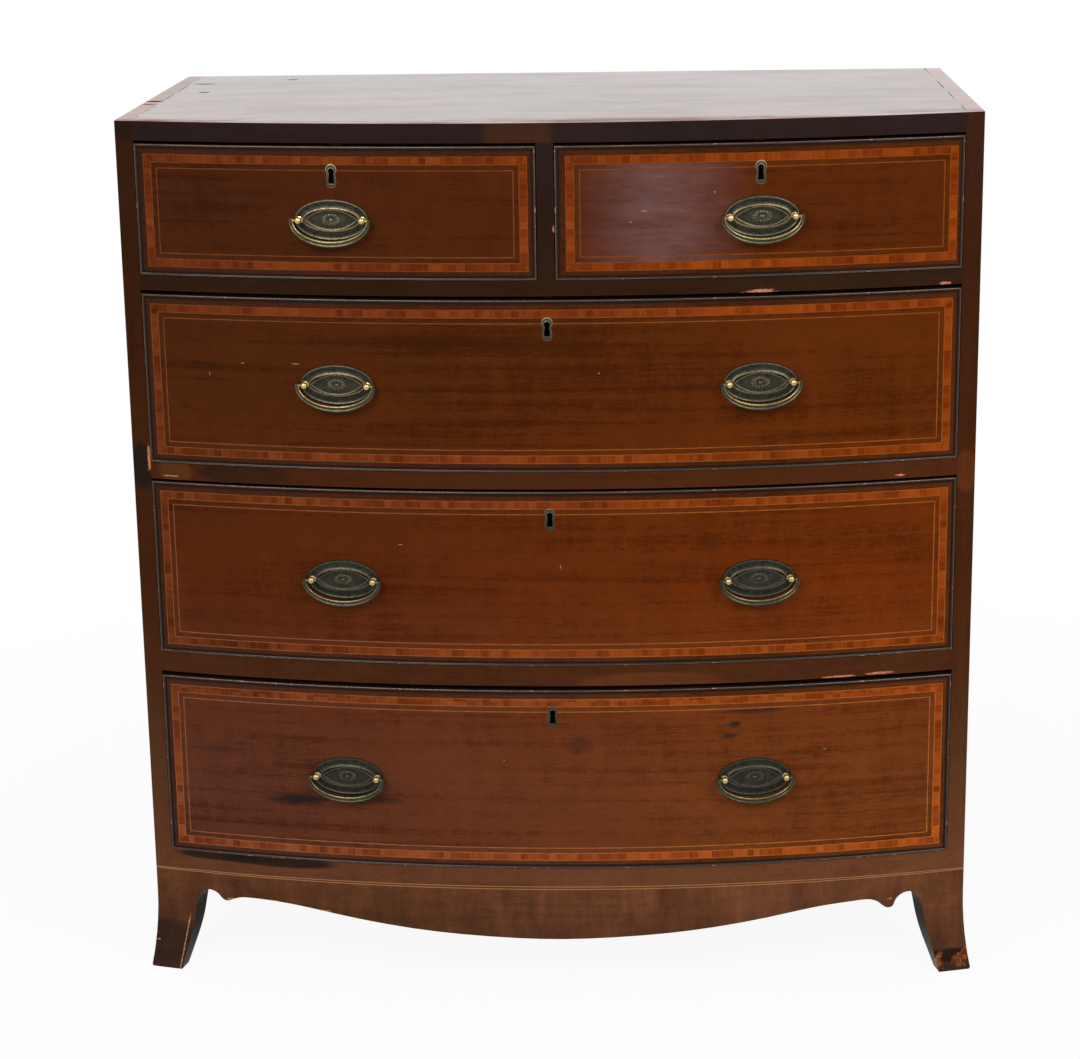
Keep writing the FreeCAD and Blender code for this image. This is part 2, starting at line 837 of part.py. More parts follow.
# ---------------------------------------------------------------- lock
def make_lock(drawer):
    top = drawer["z1"]
    case = box(-lock_half_wide, lock_half_wide, lock_front, lock_back, top - lock_tall, top)
    selvedge = box(
        -selvedge_half_wide, selvedge_half_wide, lock_front, lock_back, top - selvedge_thick, top
    )
    chamber = box(
        -bolt_half_wide - bolt_slack, bolt_half_wide + bolt_slack,
        bolt_front - bolt_slack, bolt_back + bolt_slack, top - lock_tall + lock_floor, top,
    )
    keyhole = keyhole_shape(
        keyhole_head_radius, keyhole_half_tall, keyhole_waist, keyhole_foot,
        lock_front - cut_margin, bolt_front,
    )
    keyhole.translate(Vector(0, 0, top - key_below_top))
    lock = joined([case, selvedge]).cut([chamber, keyhole])
    return on_front(lock, drawer["key"], 0.0)


def make_bolt(drawer):
    top = drawer["z1"] - bolt_sink
    bolt = box(-bolt_half_wide, bolt_half_wide, bolt_front, bolt_back, top - bolt_tall, top)
    return on_front(bolt, drawer["key"], 0.0)


# ---------------------------------------------------------------- handles
def oval(half_wide, half_tall, y):
    """An oval outline standing up in the plane of the plate."""
    wire = Part.Wire(Part.Ellipse(Vector(0, 0, 0), half_wide, half_tall).toShape())
    wire.rotate(Vector(0, 0, 0), Vector(1, 0, 0), 90)
    wire.translate(Vector(0, y, 0))
    return wire


def navette(half_wide, half_tall, y):
    """A long boss outline with a point at each end, made of two arcs."""
    left = Vector(-half_wide, y, 0)
    right = Vector(half_wide, y, 0)
    upper = Part.Arc(left, Vector(0, y, half_tall), right).toShape()
    lower = Part.Arc(right, Vector(0, y, -half_tall), left).toShape()
    return Part.Wire([upper, lower])


def make_plate():
    rim = Part.makeLoft([
        oval(plate_half_wide, plate_half_tall, 0.0),
        oval(plate_half_wide - plate_bevel, plate_half_tall - plate_bevel, -plate_thick),
    ], True, True)
    slope = plate_thick
    platform = Part.makeLoft([
        oval(platform_half_wide, platform_half_tall, -plate_bevel),
        oval(platform_half_wide - slope, platform_half_tall - slope, -platform_proud),
    ], True, True)
    boss = Part.makeLoft([
        navette(boss_half_wide, boss_half_tall, -plate_thick),
        navette(boss_top_half_wide, boss_top_half_tall, -boss_proud),
    ], True, True)
    rosette = Part.makeLoft([
        oval(rosette_half_wide, rosette_half_tall, -platform_proud),
        oval(rosette_half_wide - slope, rosette_half_tall - slope, -rosette_proud),
    ], True, True)
    plate = rim.fuse([platform, boss, rosette])
    holes = [
        Part.makeCylinder(
            shank_radius + shank_hole_slack, 3 * plate_thick,
            Vector(side * post_half_spacing, -2 * plate_thick, 0), Vector(0, 1, 0)
        )
        for side in (-1, 1)
    ]
    return plate.cut(holes)


def make_post():
    """A turned post: shank through the wood, collar on the plate, neck and drilled ball."""
    end = front_thick + nut_gap + nut_thick + shank_past_nut
    ball_start = -pivot_proud + math.sqrt(ball_radius ** 2 - neck_radius ** 2)
    collar_end = -plate_thick - collar_thick

    def turn(radius, y):
        return Vector(radius, y, 0)

    profile = straight([
        turn(0, end), turn(shank_radius, end), turn(shank_radius, -plate_thick),
        turn(collar_radius, -plate_thick), turn(collar_radius, collar_end + collar_slope),
        turn(neck_radius, collar_end), turn(neck_radius, ball_start),
    ])
    profile.append(Part.Arc(
        turn(neck_radius, ball_start), turn(ball_radius, -pivot_proud),
        turn(0, -pivot_proud - ball_radius),
    ).toShape())
    profile += straight([turn(0, -pivot_proud - ball_radius), turn(0, end)])
    face = Part.Face(Part.Wire(Part.__sortEdges__(profile)))
    post = face.revolve(Vector(0, 0, 0), Vector(0, 1, 0), 360)
    drilled = Part.makeCylinder(
        pin_radius + pin_slack, 4 * ball_radius, Vector(-2 * ball_radius, -pivot_proud, 0), Vector(1, 0, 0)
    )
    return post.cut(drilled)


def make_nut():
    """A square nut behind the drawer front."""
    start = front_thick + nut_gap
    half = nut_half_wide
    nut = box(-half, half, start, start + nut_thick, -half, half)
    hole = Part.makeCylinder(shank_radius + pin_slack, nut_thick, Vector(0, start, 0), Vector(0, 1, 0))
    return nut.cut(hole)


def make_bail():
    """The swinging bail: a flat half oval, bevelled in front, with a pin turned in at each end."""
    front_y = -pivot_proud - bail_thick / 2

    def half_oval(half_wide, drop):
        ellipse = Part.Ellipse(Vector(0, 0, 0), half_wide, drop)
        arc = Part.ArcOfEllipse(ellipse, math.pi, 2 * math.pi).toShape()
        arc.rotate(Vector(0, 0, 0), Vector(1, 0, 0), 90)
        arc.translate(Vector(0, front_y, 0))
        return arc

    edges = [half_oval(bail_half_wide, bail_drop), half_oval(bail_inner_half_wide, bail_inner_drop)]
    for side in (-1, 1):
        inner, outer = side * bail_inner_half_wide, side * bail_half_wide
        edges += straight([
            Vector(inner, front_y, 0), Vector(inner, front_y, bail_end_rise),
            Vector(outer, front_y, bail_end_rise), Vector(outer, front_y, 0),
        ])
    band = closed_prism(edges, Vector(0, bail_thick, 0))
    front_edges = [
        edge for edge in band.Edges
        if edge.Length > bail_half_wide and edge.BoundBox.YMax < -pivot_proud
    ]
    band = band.makeChamfer(bail_bevel, front_edges)
    pin_start = post_half_spacing - pin_reach
    pin = Part.makeCylinder(
        pin_radius, bail_inner_half_wide + pin_inside_bail - pin_start,
        Vector(pin_start, -pivot_proud, 0), Vector(1, 0, 0)
    )
    return joined([band, pin, mirrored(pin)])


# ---------------------------------------------------------------- the five drawers
long_drawer_half = opening_half - drawer_side_gap
muntin_side = muntin_wide / 2 + drawer_side_gap
short_middle = (muntin_side + long_drawer_half) / 2
short_key = bow_radius * math.asin(short_middle / bow_radius)
handle_place = handle_place_share * opening_half


def drawer_sizes(kind, x0, x1, rail_top, ceiling, key, handles):
    """One drawer, on a rail and under a ceiling. handles gives where each one sits along the bow."""
    z0 = rail_top + drawer_under_gap
    z1 = ceiling - top_gap[kind]
    return {
        "x0": x0, "x1": x1, "z0": z0, "z1": z1, "key": key, "tails": tail_count[kind],
        "handle_z": z0 + handle_height[kind] * (z1 - z0),
        "handles": {suffix: along + handle_shift[kind] for suffix, along in handles.items()},
    }


def short_drawer(x0, x1, side):
    handles = {"": side * handle_place}
    return drawer_sizes("short", x0, x1, upper_rail_top, top_underside, side * short_key, handles)


def long_drawer(kind, rail_top, ceiling):
    handles = {"_left": -handle_place, "_right": handle_place}
    return drawer_sizes(
        kind, -long_drawer_half, long_drawer_half, rail_top, ceiling, 0.0, handles
    )


drawers = {
    "short_left": short_drawer(-long_drawer_half, -muntin_side, -1),
    "short_right": short_drawer(muntin_side, long_drawer_half, 1),
    "long_top": long_drawer("long_top", middle_rail_top, long_top_ceiling),
    "long_middle": long_drawer("long_middle", lower_rail_top, long_middle_ceiling),
    "long_bottom": long_drawer("long_bottom", bottom_rail_top, long_bottom_ceiling),
}

plate = make_plate()
post = make_post()
nut = make_nut()
bail = make_bail()

for name, drawer in drawers.items():
    bails = drawer["handles"]
    drawer["handles"] = list(bails.values())
    linings, front_tails = make_linings(drawer)
    keep(name + "_front", [make_front(drawer, front_tails)])
    keep(name + "_linings", linings)
    keep(name + "_bottom", [make_bottom(drawer)])
    keep(name + "_cockbeads", make_beads(drawer["x0"], drawer["x1"], drawer["z0"], drawer["z1"]))
    keep(name + "_lock", [make_lock(drawer)])
    keep(name + "_bolt", [make_bolt(drawer)])
    scutcheon = keyhole_shape(
        scutcheon_head_radius, scutcheon_half_tall, scutcheon_waist, scutcheon_foot,
        -scutcheon_proud, scutcheon_thick - scutcheon_proud,
    ).cut(keyhole_shape(
        keyhole_head_radius, keyhole_half_tall, keyhole_waist, keyhole_foot, -1.0, scutcheon_thick
    ))
    brasses = [on_front(scutcheon, drawer["key"], drawer["z1"] - key_below_top)]
    posts = []
    for along in drawer["handles"]:
        brasses.append(on_front(plate, along, drawer["handle_z"]))
        for side in (-1, 1):
            for piece in (post, nut):
                shifted = piece.copy()
                shifted.translate(Vector(side * post_half_spacing, 0, 0))
                posts.append(on_front(shifted, along, drawer["handle_z"]))
    keep(name + "_plates", brasses)
    keep(name + "_posts", posts)
    for suffix, along in bails.items():
        keep(name + suffix + "_bail", [on_front(bail, along, drawer["handle_z"])])

# ---------------------------------------------------------------- the carcase
right_side = make_right_side()
keep("right_side", [right_side])
keep("left_side", [mirrored(right_side)])
keep("top_board", [make_top_board(short_key)])
keep("top_veneer", [bow_panel(-half_width, half_width, carcase_top, chest_height, 0.0, side_depth)])
keep("front_rails", make_rails())
keep("muntin", [make_muntin()])
keep("dustboards", make_dustboards())
keep("back_boards", make_back_boards())
keep("drawer_guides", make_guides())
side_apron = make_side_apron()
keep("aprons", [make_front_apron(), side_apron, mirrored(side_apron)])
keep("feet", make_feet())
keep("glue_blocks", make_glue_blocks())

# ---------------------------------------------------------------- centred and written
front_most = min(pieces[node].optimalBoundingBox().YMin for node in pieces if node.endswith("_posts"))
centre_shift = -(side_depth + front_most) / 2
print("moved along Y by", round(centre_shift, 4))
for node, group in pieces.items():
    group.translate(Vector(0, centre_shift, 0))
    group.exportStep("parts/" + node + ".step")
    print(node, len(group.Solids), "solids", round(group.Volume / 1000.0, 1), "cm3")
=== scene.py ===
# %% [markdown]
# # A bow front chest of drawers
# The chest is a carcase of boards with five drawers that slide out, each with a lock and swing
# handles. The boards and their joints are ready made in the frame. This lesson dresses them: it lays
# the veneers, banding and stringing, runs the cockbeads, casts the brasses, and mixes the finishes.
# Everything is in metres. The front faces -Y and the chest stands on Z = 0.

import json
import math

import bmesh
import bpy
from mathutils import Matrix, Vector

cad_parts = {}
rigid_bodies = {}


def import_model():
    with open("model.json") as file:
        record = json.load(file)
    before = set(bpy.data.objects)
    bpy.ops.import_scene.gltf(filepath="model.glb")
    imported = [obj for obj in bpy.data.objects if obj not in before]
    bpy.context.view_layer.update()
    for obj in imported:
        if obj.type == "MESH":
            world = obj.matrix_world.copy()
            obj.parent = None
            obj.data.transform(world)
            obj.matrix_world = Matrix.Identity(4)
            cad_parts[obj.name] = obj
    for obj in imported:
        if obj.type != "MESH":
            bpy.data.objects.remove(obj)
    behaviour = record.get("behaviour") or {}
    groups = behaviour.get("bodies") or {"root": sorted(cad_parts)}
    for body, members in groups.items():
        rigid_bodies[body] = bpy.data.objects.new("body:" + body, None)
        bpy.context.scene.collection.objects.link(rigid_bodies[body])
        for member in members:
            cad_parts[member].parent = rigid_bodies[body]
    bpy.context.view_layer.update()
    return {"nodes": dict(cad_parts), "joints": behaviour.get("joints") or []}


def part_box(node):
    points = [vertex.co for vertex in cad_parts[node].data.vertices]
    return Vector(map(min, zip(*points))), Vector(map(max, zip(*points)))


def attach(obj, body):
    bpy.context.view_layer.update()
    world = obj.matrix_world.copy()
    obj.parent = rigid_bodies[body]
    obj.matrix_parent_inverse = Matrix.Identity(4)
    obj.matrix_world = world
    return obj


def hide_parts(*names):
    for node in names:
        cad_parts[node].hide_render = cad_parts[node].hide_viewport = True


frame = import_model()

# %% [markdown]
# ## The bow
# The front is one arc in plan, from corner to corner. Its radius follows from the width of the case
# and from how far the middle stands in front of the corners. A place on the front is given by how far
# along the arc it lies, and by its height. That is how a maker marks out a bowed drawer too, with a
# thin batten bent round the front. The pins of the bails turn 9 mm in front of the bow, and since
# their place is known, they tell where the centre of the bow lies.

# %% Measure the bow
MM = 0.001
half_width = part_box("top_veneer")[1].x
bow_depth = 69.0 * MM
bow_radius = (half_width ** 2 + bow_depth ** 2) / (2 * bow_depth)
pin_proud = 9.0
pin_x, pin_y, _ = next(j["pos_m"] for j in frame["joints"] if j["child"] == "short_left_bail")
bow_centre_y = pin_y + math.sqrt((bow_radius + pin_proud * MM) ** 2 - pin_x ** 2)


def along_bow(x):
    """Distance along the arc, from the middle of the front, of a point at x."""
    return bow_radius * math.asin(x / bow_radius)


def on_bow(along, z):
    """The place and turn of a small piece that is drawn flat, with +Y into the wood."""
    angle = along / bow_radius
    place = Vector((
        bow_radius * math.sin(angle), bow_centre_y - bow_radius * math.cos(angle), z
    ))
    return Matrix.Translation(place) @ Matrix.Rotation(angle, 4, "Z")


print("bow radius", round(bow_radius, 4), "centre at y", round(bow_centre_y, 4))

# %% [markdown]
# ## The drawers
# The cockbeads frame each drawer front, so their boxes give the outline of every drawer. The pin of
# each bail is a hinge of the frame, and that tells where its handle sits.

# %% List the drawers
key_drop = 34.5 * MM  # from the top edge of a drawer down to the middle of its keyhole
drawers = {}
for name in ("short_left", "short_right", "long_top", "long_middle", "long_bottom"):
    low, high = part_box(name + "_cockbeads")
    key_x = (low.x + high.x) / 2
    drawers[name] = {
        "left": along_bow(low.x), "right": along_bow(high.x), "bottom": low.z, "top": high.z,
        "key": (along_bow(key_x), high.z - key_drop), "handles": {},
    }

for joint in frame["joints"]:
    if joint["child"].endswith("_bail"):
        drawer_name = joint["parent"].removesuffix("_drawer")
        x, y, z = joint["pos_m"]
        along = bow_radius * math.atan2(x, bow_centre_y - y)
        drawers[drawer_name]["handles"][joint["child"]] = (along, z)

for name, drawer in drawers.items():
    print(name, "width along the bow", round(drawer["right"] - drawer["left"], 4), drawer["handles"])

# %% [markdown]
# ## Tools for finishes
# A finish is a small network: coordinates go in, noise turns them into grain or tarnish, and a shader
# takes the colour, the gloss and the bump. These helpers each add one step, so that a finish further
# down reads as a recipe. Colours are written as a painter's swatch from 0 to 255.


# %% Nodes and sums
def shade(red, green, blue):
    """A swatch colour made linear, as the shaders need it."""
    linear = [
        c / 12.92 if c <= 0.04045 else ((c + 0.055) / 1.055) ** 2.4
        for c in (red / 255, green / 255, blue / 255)
    ]
    return (*linear, 1.0)


def feed(tree, value, socket):
    """Joins a socket to a value, or sets it where the value is a plain number or colour."""
    if isinstance(value, bpy.types.NodeSocket):
        tree.links.new(value, socket)
    elif value is not None:
        socket.default_value = value


def add(tree, kind, *values, **settings):
    """Adds a node. values feed its first inputs in order. Of the named settings, those with a
    capital are inputs, and the others set the node up."""
    made = tree.nodes.new(kind)
    inputs = {key: value for key, value in settings.items() if key[0].isupper()}
    for key, setting in settings.items():
        if key not in inputs:
            setattr(made, key, setting)
    for value, socket in zip(values, made.inputs):
        feed(tree, value, socket)
    for key, value in inputs.items():
        feed(tree, value, made.inputs[key.replace("_", " ")])
    return made


def calc(tree, operation, *values):
    return add(tree, "ShaderNodeMath", *values, operation=operation).outputs[0]


def split(tree, at):
    return add(tree, "ShaderNodeSeparateXYZ", at).outputs


def join(tree, x, y, z=0.0):
    return add(tree, "ShaderNodeCombineXYZ", x, y, z).outputs[0]


print("swatch 128 is", round(shade(128, 128, 128)[0], 3), "in linear light")


# %% Noise, and ways to shape it
def stretch(tree, at, scale, shift=(0.0, 0.0, 0.0), turn=(0.0, 0.0, 0.0)):
    """Coordinates that are shifted, turned and scaled. A small scale draws a pattern out."""
    return add(tree, "ShaderNodeMapping", at, shift, turn, scale).outputs[0]


def noise(tree, at, scale=1.0, detail=3.0, rough=0.5, warp=0.0):
    return add(
        tree, "ShaderNodeTexNoise", Vector=at, Scale=scale, Detail=detail, Roughness=rough,
        Distortion=warp,
    ).outputs["Fac"]


def streaked(tree, at, scale, detail=3.0, rough=0.5, warp=0.0):
    """Noise that is drawn out along each axis with a small scale."""
    return noise(tree, stretch(tree, at, scale), 1.0, detail, rough, warp)


def fade(tree, value, start, end, low=0.0, high=1.0):
    """Runs smoothly from low to high while value goes from start to end."""
    return add(
        tree, "ShaderNodeMapRange", value, start, end, low, high, interpolation_type="SMOOTHSTEP"
    ).outputs[0]


def uneven(tree, pattern, low, high):
    """Runs from low to high over the middle of a noise."""
    return fade(tree, pattern, 0.3, 0.7, low, high)


def near(tree, value, middle, inside, outside):
    """1 where a value is nearer to the middle than inside, and 0 from outside on."""
    off = calc(tree, "ABSOLUTE", calc(tree, "SUBTRACT", value, middle))
    return fade(tree, off, inside, outside, 1.0, 0.0)


def sway(tree, value, amount, pattern):
    """Lets a value go up and down with a noise, by that amount times the noise."""
    return calc(tree, "MULTIPLY_ADD", calc(tree, "SUBTRACT", pattern, 0.5), amount, value)


# %% Colours and marks
def mix(tree, amount, first, second, way="MIX"):
    return add(
        tree, "ShaderNodeMix", data_type="RGBA", blend_type=way, Factor=amount, A=first, B=second
    ).outputs["Result"]


def ramp(tree, value, *stops, smooth=False):
    """A colour from a value between 0 and 1. Each stop is a place and a colour."""
    made = add(tree, "ShaderNodeValToRGB", value)
    made.color_ramp.interpolation = "B_SPLINE" if smooth else "LINEAR"
    points = made.color_ramp.elements
    while len(points) < len(stops):
        points.new(0.5)
    for point, (place, colour) in zip(points, stops):
        point.position = place
        point.color = colour
    return made.outputs[0]


def spot(tree, at, centre, size, ragged=0.35, core=0.8):
    """A patch: 1 inside an oval of that half size in mm, 0 outside. A small core makes it soft."""
    scale = [1.0 / (s * MM) for s in size]
    shift = [-c / s for c, s in zip(centre, size)]
    place = stretch(tree, at, scale, shift)
    reach = add(tree, "ShaderNodeVectorMath", place, operation="LENGTH").outputs["Value"]
    reach = sway(tree, reach, ragged * 4, noise(tree, place, 1.6, 4.0, 0.6))
    return fade(tree, reach, core, 1.15, 1.0, 0.0)


def paint(tree, colour, mark, swatch, strength=None):
    """Lays a swatch over a colour where the mark is 1. strength is a number or a pattern."""
    if strength is not None:
        mark = calc(tree, "MULTIPLY", mark, strength)
    return mix(tree, mark, colour, swatch)


def times(tree, first, second):
    """One colour or pattern multiplied by another."""
    return mix(tree, 1.0, first, second, "MULTIPLY")


def by_height(tree, z, *stops):
    """The tone of the chest at a height. Each stop is a height in metres and a colour."""
    full = 1.1
    share = calc(tree, "DIVIDE", z, full)
    return ramp(tree, share, *[(height / full, colour) for height, colour in stops])


# %% [markdown]
# ## A blank finish
# Each finish is one material with one shader. Sizes of bumps are real heights, so the same recipe
# looks right on a small brass and on a large board. Old shellac is orange, so what polished wood
# mirrors from straight ahead is faint and warm.


# %% Start and close a finish
def emptied(owner):
    """The network of a material or a world, with nothing in it."""
    owner.use_nodes = True
    owner.node_tree.nodes.clear()
    return owner.node_tree


def blank(name):
    material = bpy.data.materials.new(name)
    tree = emptied(material)
    shader = add(tree, "ShaderNodeBsdfPrincipled")
    add(tree, "ShaderNodeOutputMaterial", Surface=shader.outputs[0])
    return material, tree, shader


def close(tree, shader, colour, gloss, height=None, bump_mm=0.05, **constants):
    """Feeds the shader. gloss is its roughness. Height runs from 0 to 1 over bump_mm."""
    feed(tree, colour, shader.inputs["Base Color"])
    feed(tree, gloss, shader.inputs["Roughness"])
    if height is not None:
        bump = add(tree, "ShaderNodeBump", Strength=1.0, Distance=bump_mm * MM, Height=height)
        feed(tree, bump.outputs[0], shader.inputs["Normal"])
    for label, value in constants.items():
        shader.inputs[label.replace("_", " ").title().replace("Ior", "IOR")].default_value = value


shellac = {"specular_ior_level": 0.07, "specular_tint": (1.0, 0.62, 0.38, 1.0)}


def object_place(tree):
    return tree.nodes.new("ShaderNodeTexCoord").outputs["Object"]


def face_normal(tree):
    return tree.nodes.new("ShaderNodeNewGeometry").outputs["True Normal"]


def sheet_place(tree):
    """The place on a veneer as it lay flat: along the strip, and across it, in metres."""
    return tree.nodes.new("ShaderNodeUVMap").outputs[0]


# %% [markdown]
# ## Grain
# Wood is drawn in layers: a slow change of tone over the board, long streaks that follow the grain, a
# ripple across it, fine flecks, and pores, which are short dark scratches a tenth of a millimetre
# wide. The grain runs along the first coordinate, so a board with upright grain gets its coordinates
# turned first.


# %% The grain of a board
quiet = ((0.5, 0.44, 0.38, 1.0), (1.0, 1.0, 1.0, 1.0), (1.58, 1.64, 1.7, 1.0))
calm = ((0.74, 0.70, 0.66, 1.0), (1.0, 1.0, 1.0, 1.0), (1.28, 1.31, 1.34, 1.0))


def grain(tree, at, dark, middle, light, streak=95.0, figure=0.45):
    """The colour of planed wood, and a height map of its pores."""
    slow = streaked(tree, at, (2.2, 7.0, 7.0), 3.0, 0.5, 0.6)
    streaks = streaked(tree, at, (2.5, streak, streak), 6.0, 0.62, 0.5)
    ripple = streaked(tree, at, (38.0, 9.0, 9.0), 2.0, 0.5, 0.8)
    tone = calc(tree, "MULTIPLY_ADD", streaks, 0.55, calc(tree, "MULTIPLY", slow, 0.45))
    tone = sway(tree, tone, figure * 0.4, ripple)
    fleck = streaked(tree, at, (420.0, 60.0, 60.0), 3.0, 0.7)
    tone = sway(tree, tone, 0.25, fleck)
    fine = streaked(tree, at, (60.0, 700.0, 700.0), 2.0, 0.6)
    tone = sway(tree, tone, 0.4, fine)
    colour = ramp(tree, tone, (0.36, dark), (0.5, middle), (0.64, light), smooth=True)
    pores = streaked(tree, at, (55.0, 2100.0, 2100.0), 1.0, 0.4)
    pores = fade(tree, pores, 0.56, 0.70)
    return paint(tree, colour, pores, dark, 0.3), pores


def handled(tree, at, colour, strength=0.5):
    """Age: faint clouds of old polish and small dents that hold dirt."""
    for size, share in ((9.0, 1.0), (48.0, 0.8)):
        clouds = noise(tree, at, size, 4.0, 0.65)
        colour = times(tree, colour, sway(tree, 1.0, strength * share, clouds))
    specks = fade(tree, noise(tree, at, 260.0, 2.0, 0.5), 0.72, 0.80)
    return paint(tree, colour, specks, shade(22, 12, 8), 0.5)


# %% [markdown]
# ## Mahogany of the drawer fronts
# The fields are veneers of one log, brown red and quiet, with the grain along the drawer. The upper drawers
# are darker than the lower ones. Ink and water stains lie on the bottom drawer.

# %% The field and its stains
# place along the bow and height, half size, all in mm, and strength
stains = [
    ((242, 359), (52, 4), 0.65), ((221, 342.5), (10, 5), 0.9), ((214, 328), (14, 4), 0.75),
    ((33, 321), (22, 14), 0.45), ((-318, 239.5), (46, 9), 1.0), ((-232, 244), (60, 7), 0.7),
    ((-425, 299), (34, 4.5), 0.35), ((86, 566), (3, 1.8), 0.6), ((170, 566), (2.5, 2.2), 0.6),
]
scratches = [
    ((114, 969.6), (5.5, 0.9)), ((98, 957), (2.2, 0.9)), ((195, 990), (1.6, 1.2)), ((-366, 788), (2.6, 0.8)),
    ((-408, 774), (0.8, 2.4)), ((-300, 789), (6, 0.8)), ((-180, 571), (3, 0.8)), ((60, 780), (1.2, 1.2)),
    ((332, 305), (3, 0.7)), ((-60, 300), (1.2, 1.0)), ((12, 545), (0.9, 2.6)),
]


def warmer_to_right(tree, along, pale_left, pale_right):
    """The right of the front is lighter and warmer than the left."""
    left = (pale_left, pale_left, 0.92, 1.0)
    right = (pale_right, pale_right * 0.86, 0.55, 1.0)
    return mix(tree, fade(tree, along, -0.45, 0.45), left, right)


def make_field():
    material, tree, shader = blank("mahogany_field")
    at = sheet_place(tree)
    along, z = split(tree, at)[:2]
    pattern, pores = grain(tree, at, *quiet)
    tone = by_height(
        tree, z, (0.27, shade(96, 51, 31)), (0.52, shade(89, 38, 9)),
        (0.76, shade(76, 35, 8)), (0.96, shade(71, 32, 11)),
    )
    tone = times(tree, tone, warmer_to_right(tree, along, 0.8, 1.32))
    colour = handled(tree, at, times(tree, tone, pattern))
    # painted reflection: a pale haze on the right short drawer, where a light on the right is mirrored in the
    # bow
    painted_reflection = spot(tree, at, (136, 960, 0), (104, 330, 1000), 0.04, 0.0)
    painted_reflection = calc(tree, "MULTIPLY", painted_reflection, fade(tree, z, 0.87, 0.88))
    reflection_streaks = uneven(tree, streaked(tree, at, (14.0, 60.0, 1.0), 4.0, 0.7), 0.034, 0.082)
    colour = paint(tree, colour, painted_reflection, shade(230, 205, 218), reflection_streaks)
    for (u, height), (wide, tall), strength in stains:
        mark = spot(tree, at, (u, height, 0), (wide, tall, 1000), 0.4, 0.35)
        colour = paint(tree, colour, mark, shade(34, 26, 24), strength)
    for (u, height), (wide, tall) in scratches:
        mark = spot(tree, at, (u, height, 0), (wide, tall, 1000), 0.5, 0.3)
        colour = paint(tree, colour, mark, shade(186, 124, 84), 0.7)
    gloss = uneven(tree, noise(tree, at, 14.0, 3.0, 0.6), 0.24, 0.38)
    swell = noise(tree, at, 11.0, 2.0, 0.4)
    height = calc(tree, "MULTIPLY_ADD", pores, -0.08, swell)
    close(tree, shader, colour, gloss, height, 0.25, **shellac)
    return material


def make_margin():
    """The dark border beside the bead, darker still in the corner between them."""
    material, tree, shader = blank("mahogany_margin")
    at = sheet_place(tree)
    across = split(tree, at)[1]
    x, _, z = split(tree, object_place(tree))
    pattern, pores = grain(tree, at, *quiet)
    tone = by_height(
        tree, z, (0.2, shade(86, 48, 29)), (0.5, shade(72, 36, 18)), (0.96, shade(66, 33, 18))
    )
    tone = times(tree, tone, warmer_to_right(tree, x, 0.7, 1.2))
    colour = handled(tree, at, times(tree, tone, pattern))
    darker_by_bead = fade(tree, across, 4.2 * MM, 6.4 * MM, 1.0, 0.0)
    colour = paint(tree, colour, darker_by_bead, shade(26, 17, 15), 0.85)
    close(tree, shader, colour, 0.34, pores, 0.03, **shellac)
    return material


finishes = {"field": make_field(), "margin": make_margin()}
print("the fields have", len(stains), "stains and", len(scratches), "scratches")

# %% [markdown]
# ## Satinwood crossband
# A crossband is cut across the grain in short lengths from the end of a sheet of veneer, and they are
# laid side by side. Each length catches the light in its own way, so the band changes tone every
# centimetre or two. The network cuts the band into lengths with a stepped coordinate, and gives each
# one a random tone. The grain runs across the band.


# %% The banding and the stringing
def make_crossband():
    material, tree, shader = blank("satinwood_crossband")
    at = sheet_place(tree)
    along, across = split(tree, at)[:2]
    x, _, z = split(tree, object_place(tree))
    lengths_per_metre = 115.0
    wander = calc(tree, "MULTIPLY", noise(tree, join(tree, along, 0.0), 22.0, 2.0), 1.6)
    length = calc(tree, "MULTIPLY_ADD", along, lengths_per_metre, wander)
    sheet = calc(tree, "MULTIPLY", calc(tree, "FLOOR", calc(tree, "MULTIPLY", z, 8.0)), 331.0)
    number = calc(tree, "ADD", calc(tree, "FLOOR", length), sheet)
    tone = add(tree, "ShaderNodeTexWhiteNoise", noise_dimensions="1D", W=number)
    slow = noise(tree, object_place(tree), 9.0, 3.0, 0.6)
    turned = join(tree, across, along)
    fibres = streaked(tree, turned, (30.0, 620.0, 1.0), 4.0, 0.6)
    level = calc(tree, "MULTIPLY_ADD", tone.outputs["Value"], 0.3, calc(tree, "MULTIPLY", slow, 0.35))
    level = calc(tree, "MULTIPLY_ADD", fibres, 0.5, level)
    pattern = ramp(tree, level, (0.36, (0.56, 0.46, 0.38, 1.0)), (0.78, (1.4, 1.54, 1.6, 1.0)))
    tone = by_height(
        tree, z, (0.2, shade(138, 66, 29)), (0.45, shade(116, 52, 16)), (0.96, shade(112, 48, 14))
    )
    tone = times(tree, tone, warmer_to_right(tree, x, 0.7, 1.25))
    colour = handled(tree, at, times(tree, tone, pattern), 0.7)
    height = streaked(tree, turned, (60.0, 1500.0, 1.0), 2.0)
    close(tree, shader, colour, 0.3, height, 0.02, **shellac)
    return material


def make_string():
    material, tree, shader = blank("boxwood_string")
    at = sheet_place(tree)
    x, _, z = split(tree, object_place(tree))
    worn = streaked(tree, at, (60.0, 900.0, 1.0), 4.0, 0.6)
    pattern = ramp(tree, worn, (0.3, (0.6, 0.56, 0.5, 1.0)), (0.7, (1.3, 1.34, 1.4, 1.0)))
    tone = by_height(tree, z, (0.2, shade(152, 95, 58)), (0.96, shade(112, 62, 29)))
    tone = times(tree, tone, warmer_to_right(tree, x, 0.75, 1.15))
    gloss = fade(tree, worn, 0.3, 0.8, 0.28, 0.42)
    close(tree, shader, times(tree, tone, pattern), gloss, worn, 0.02, **shellac)
    return material


finishes["band"] = make_crossband()
finishes["string"] = make_string()
print("finishes so far:", ", ".join(finishes))
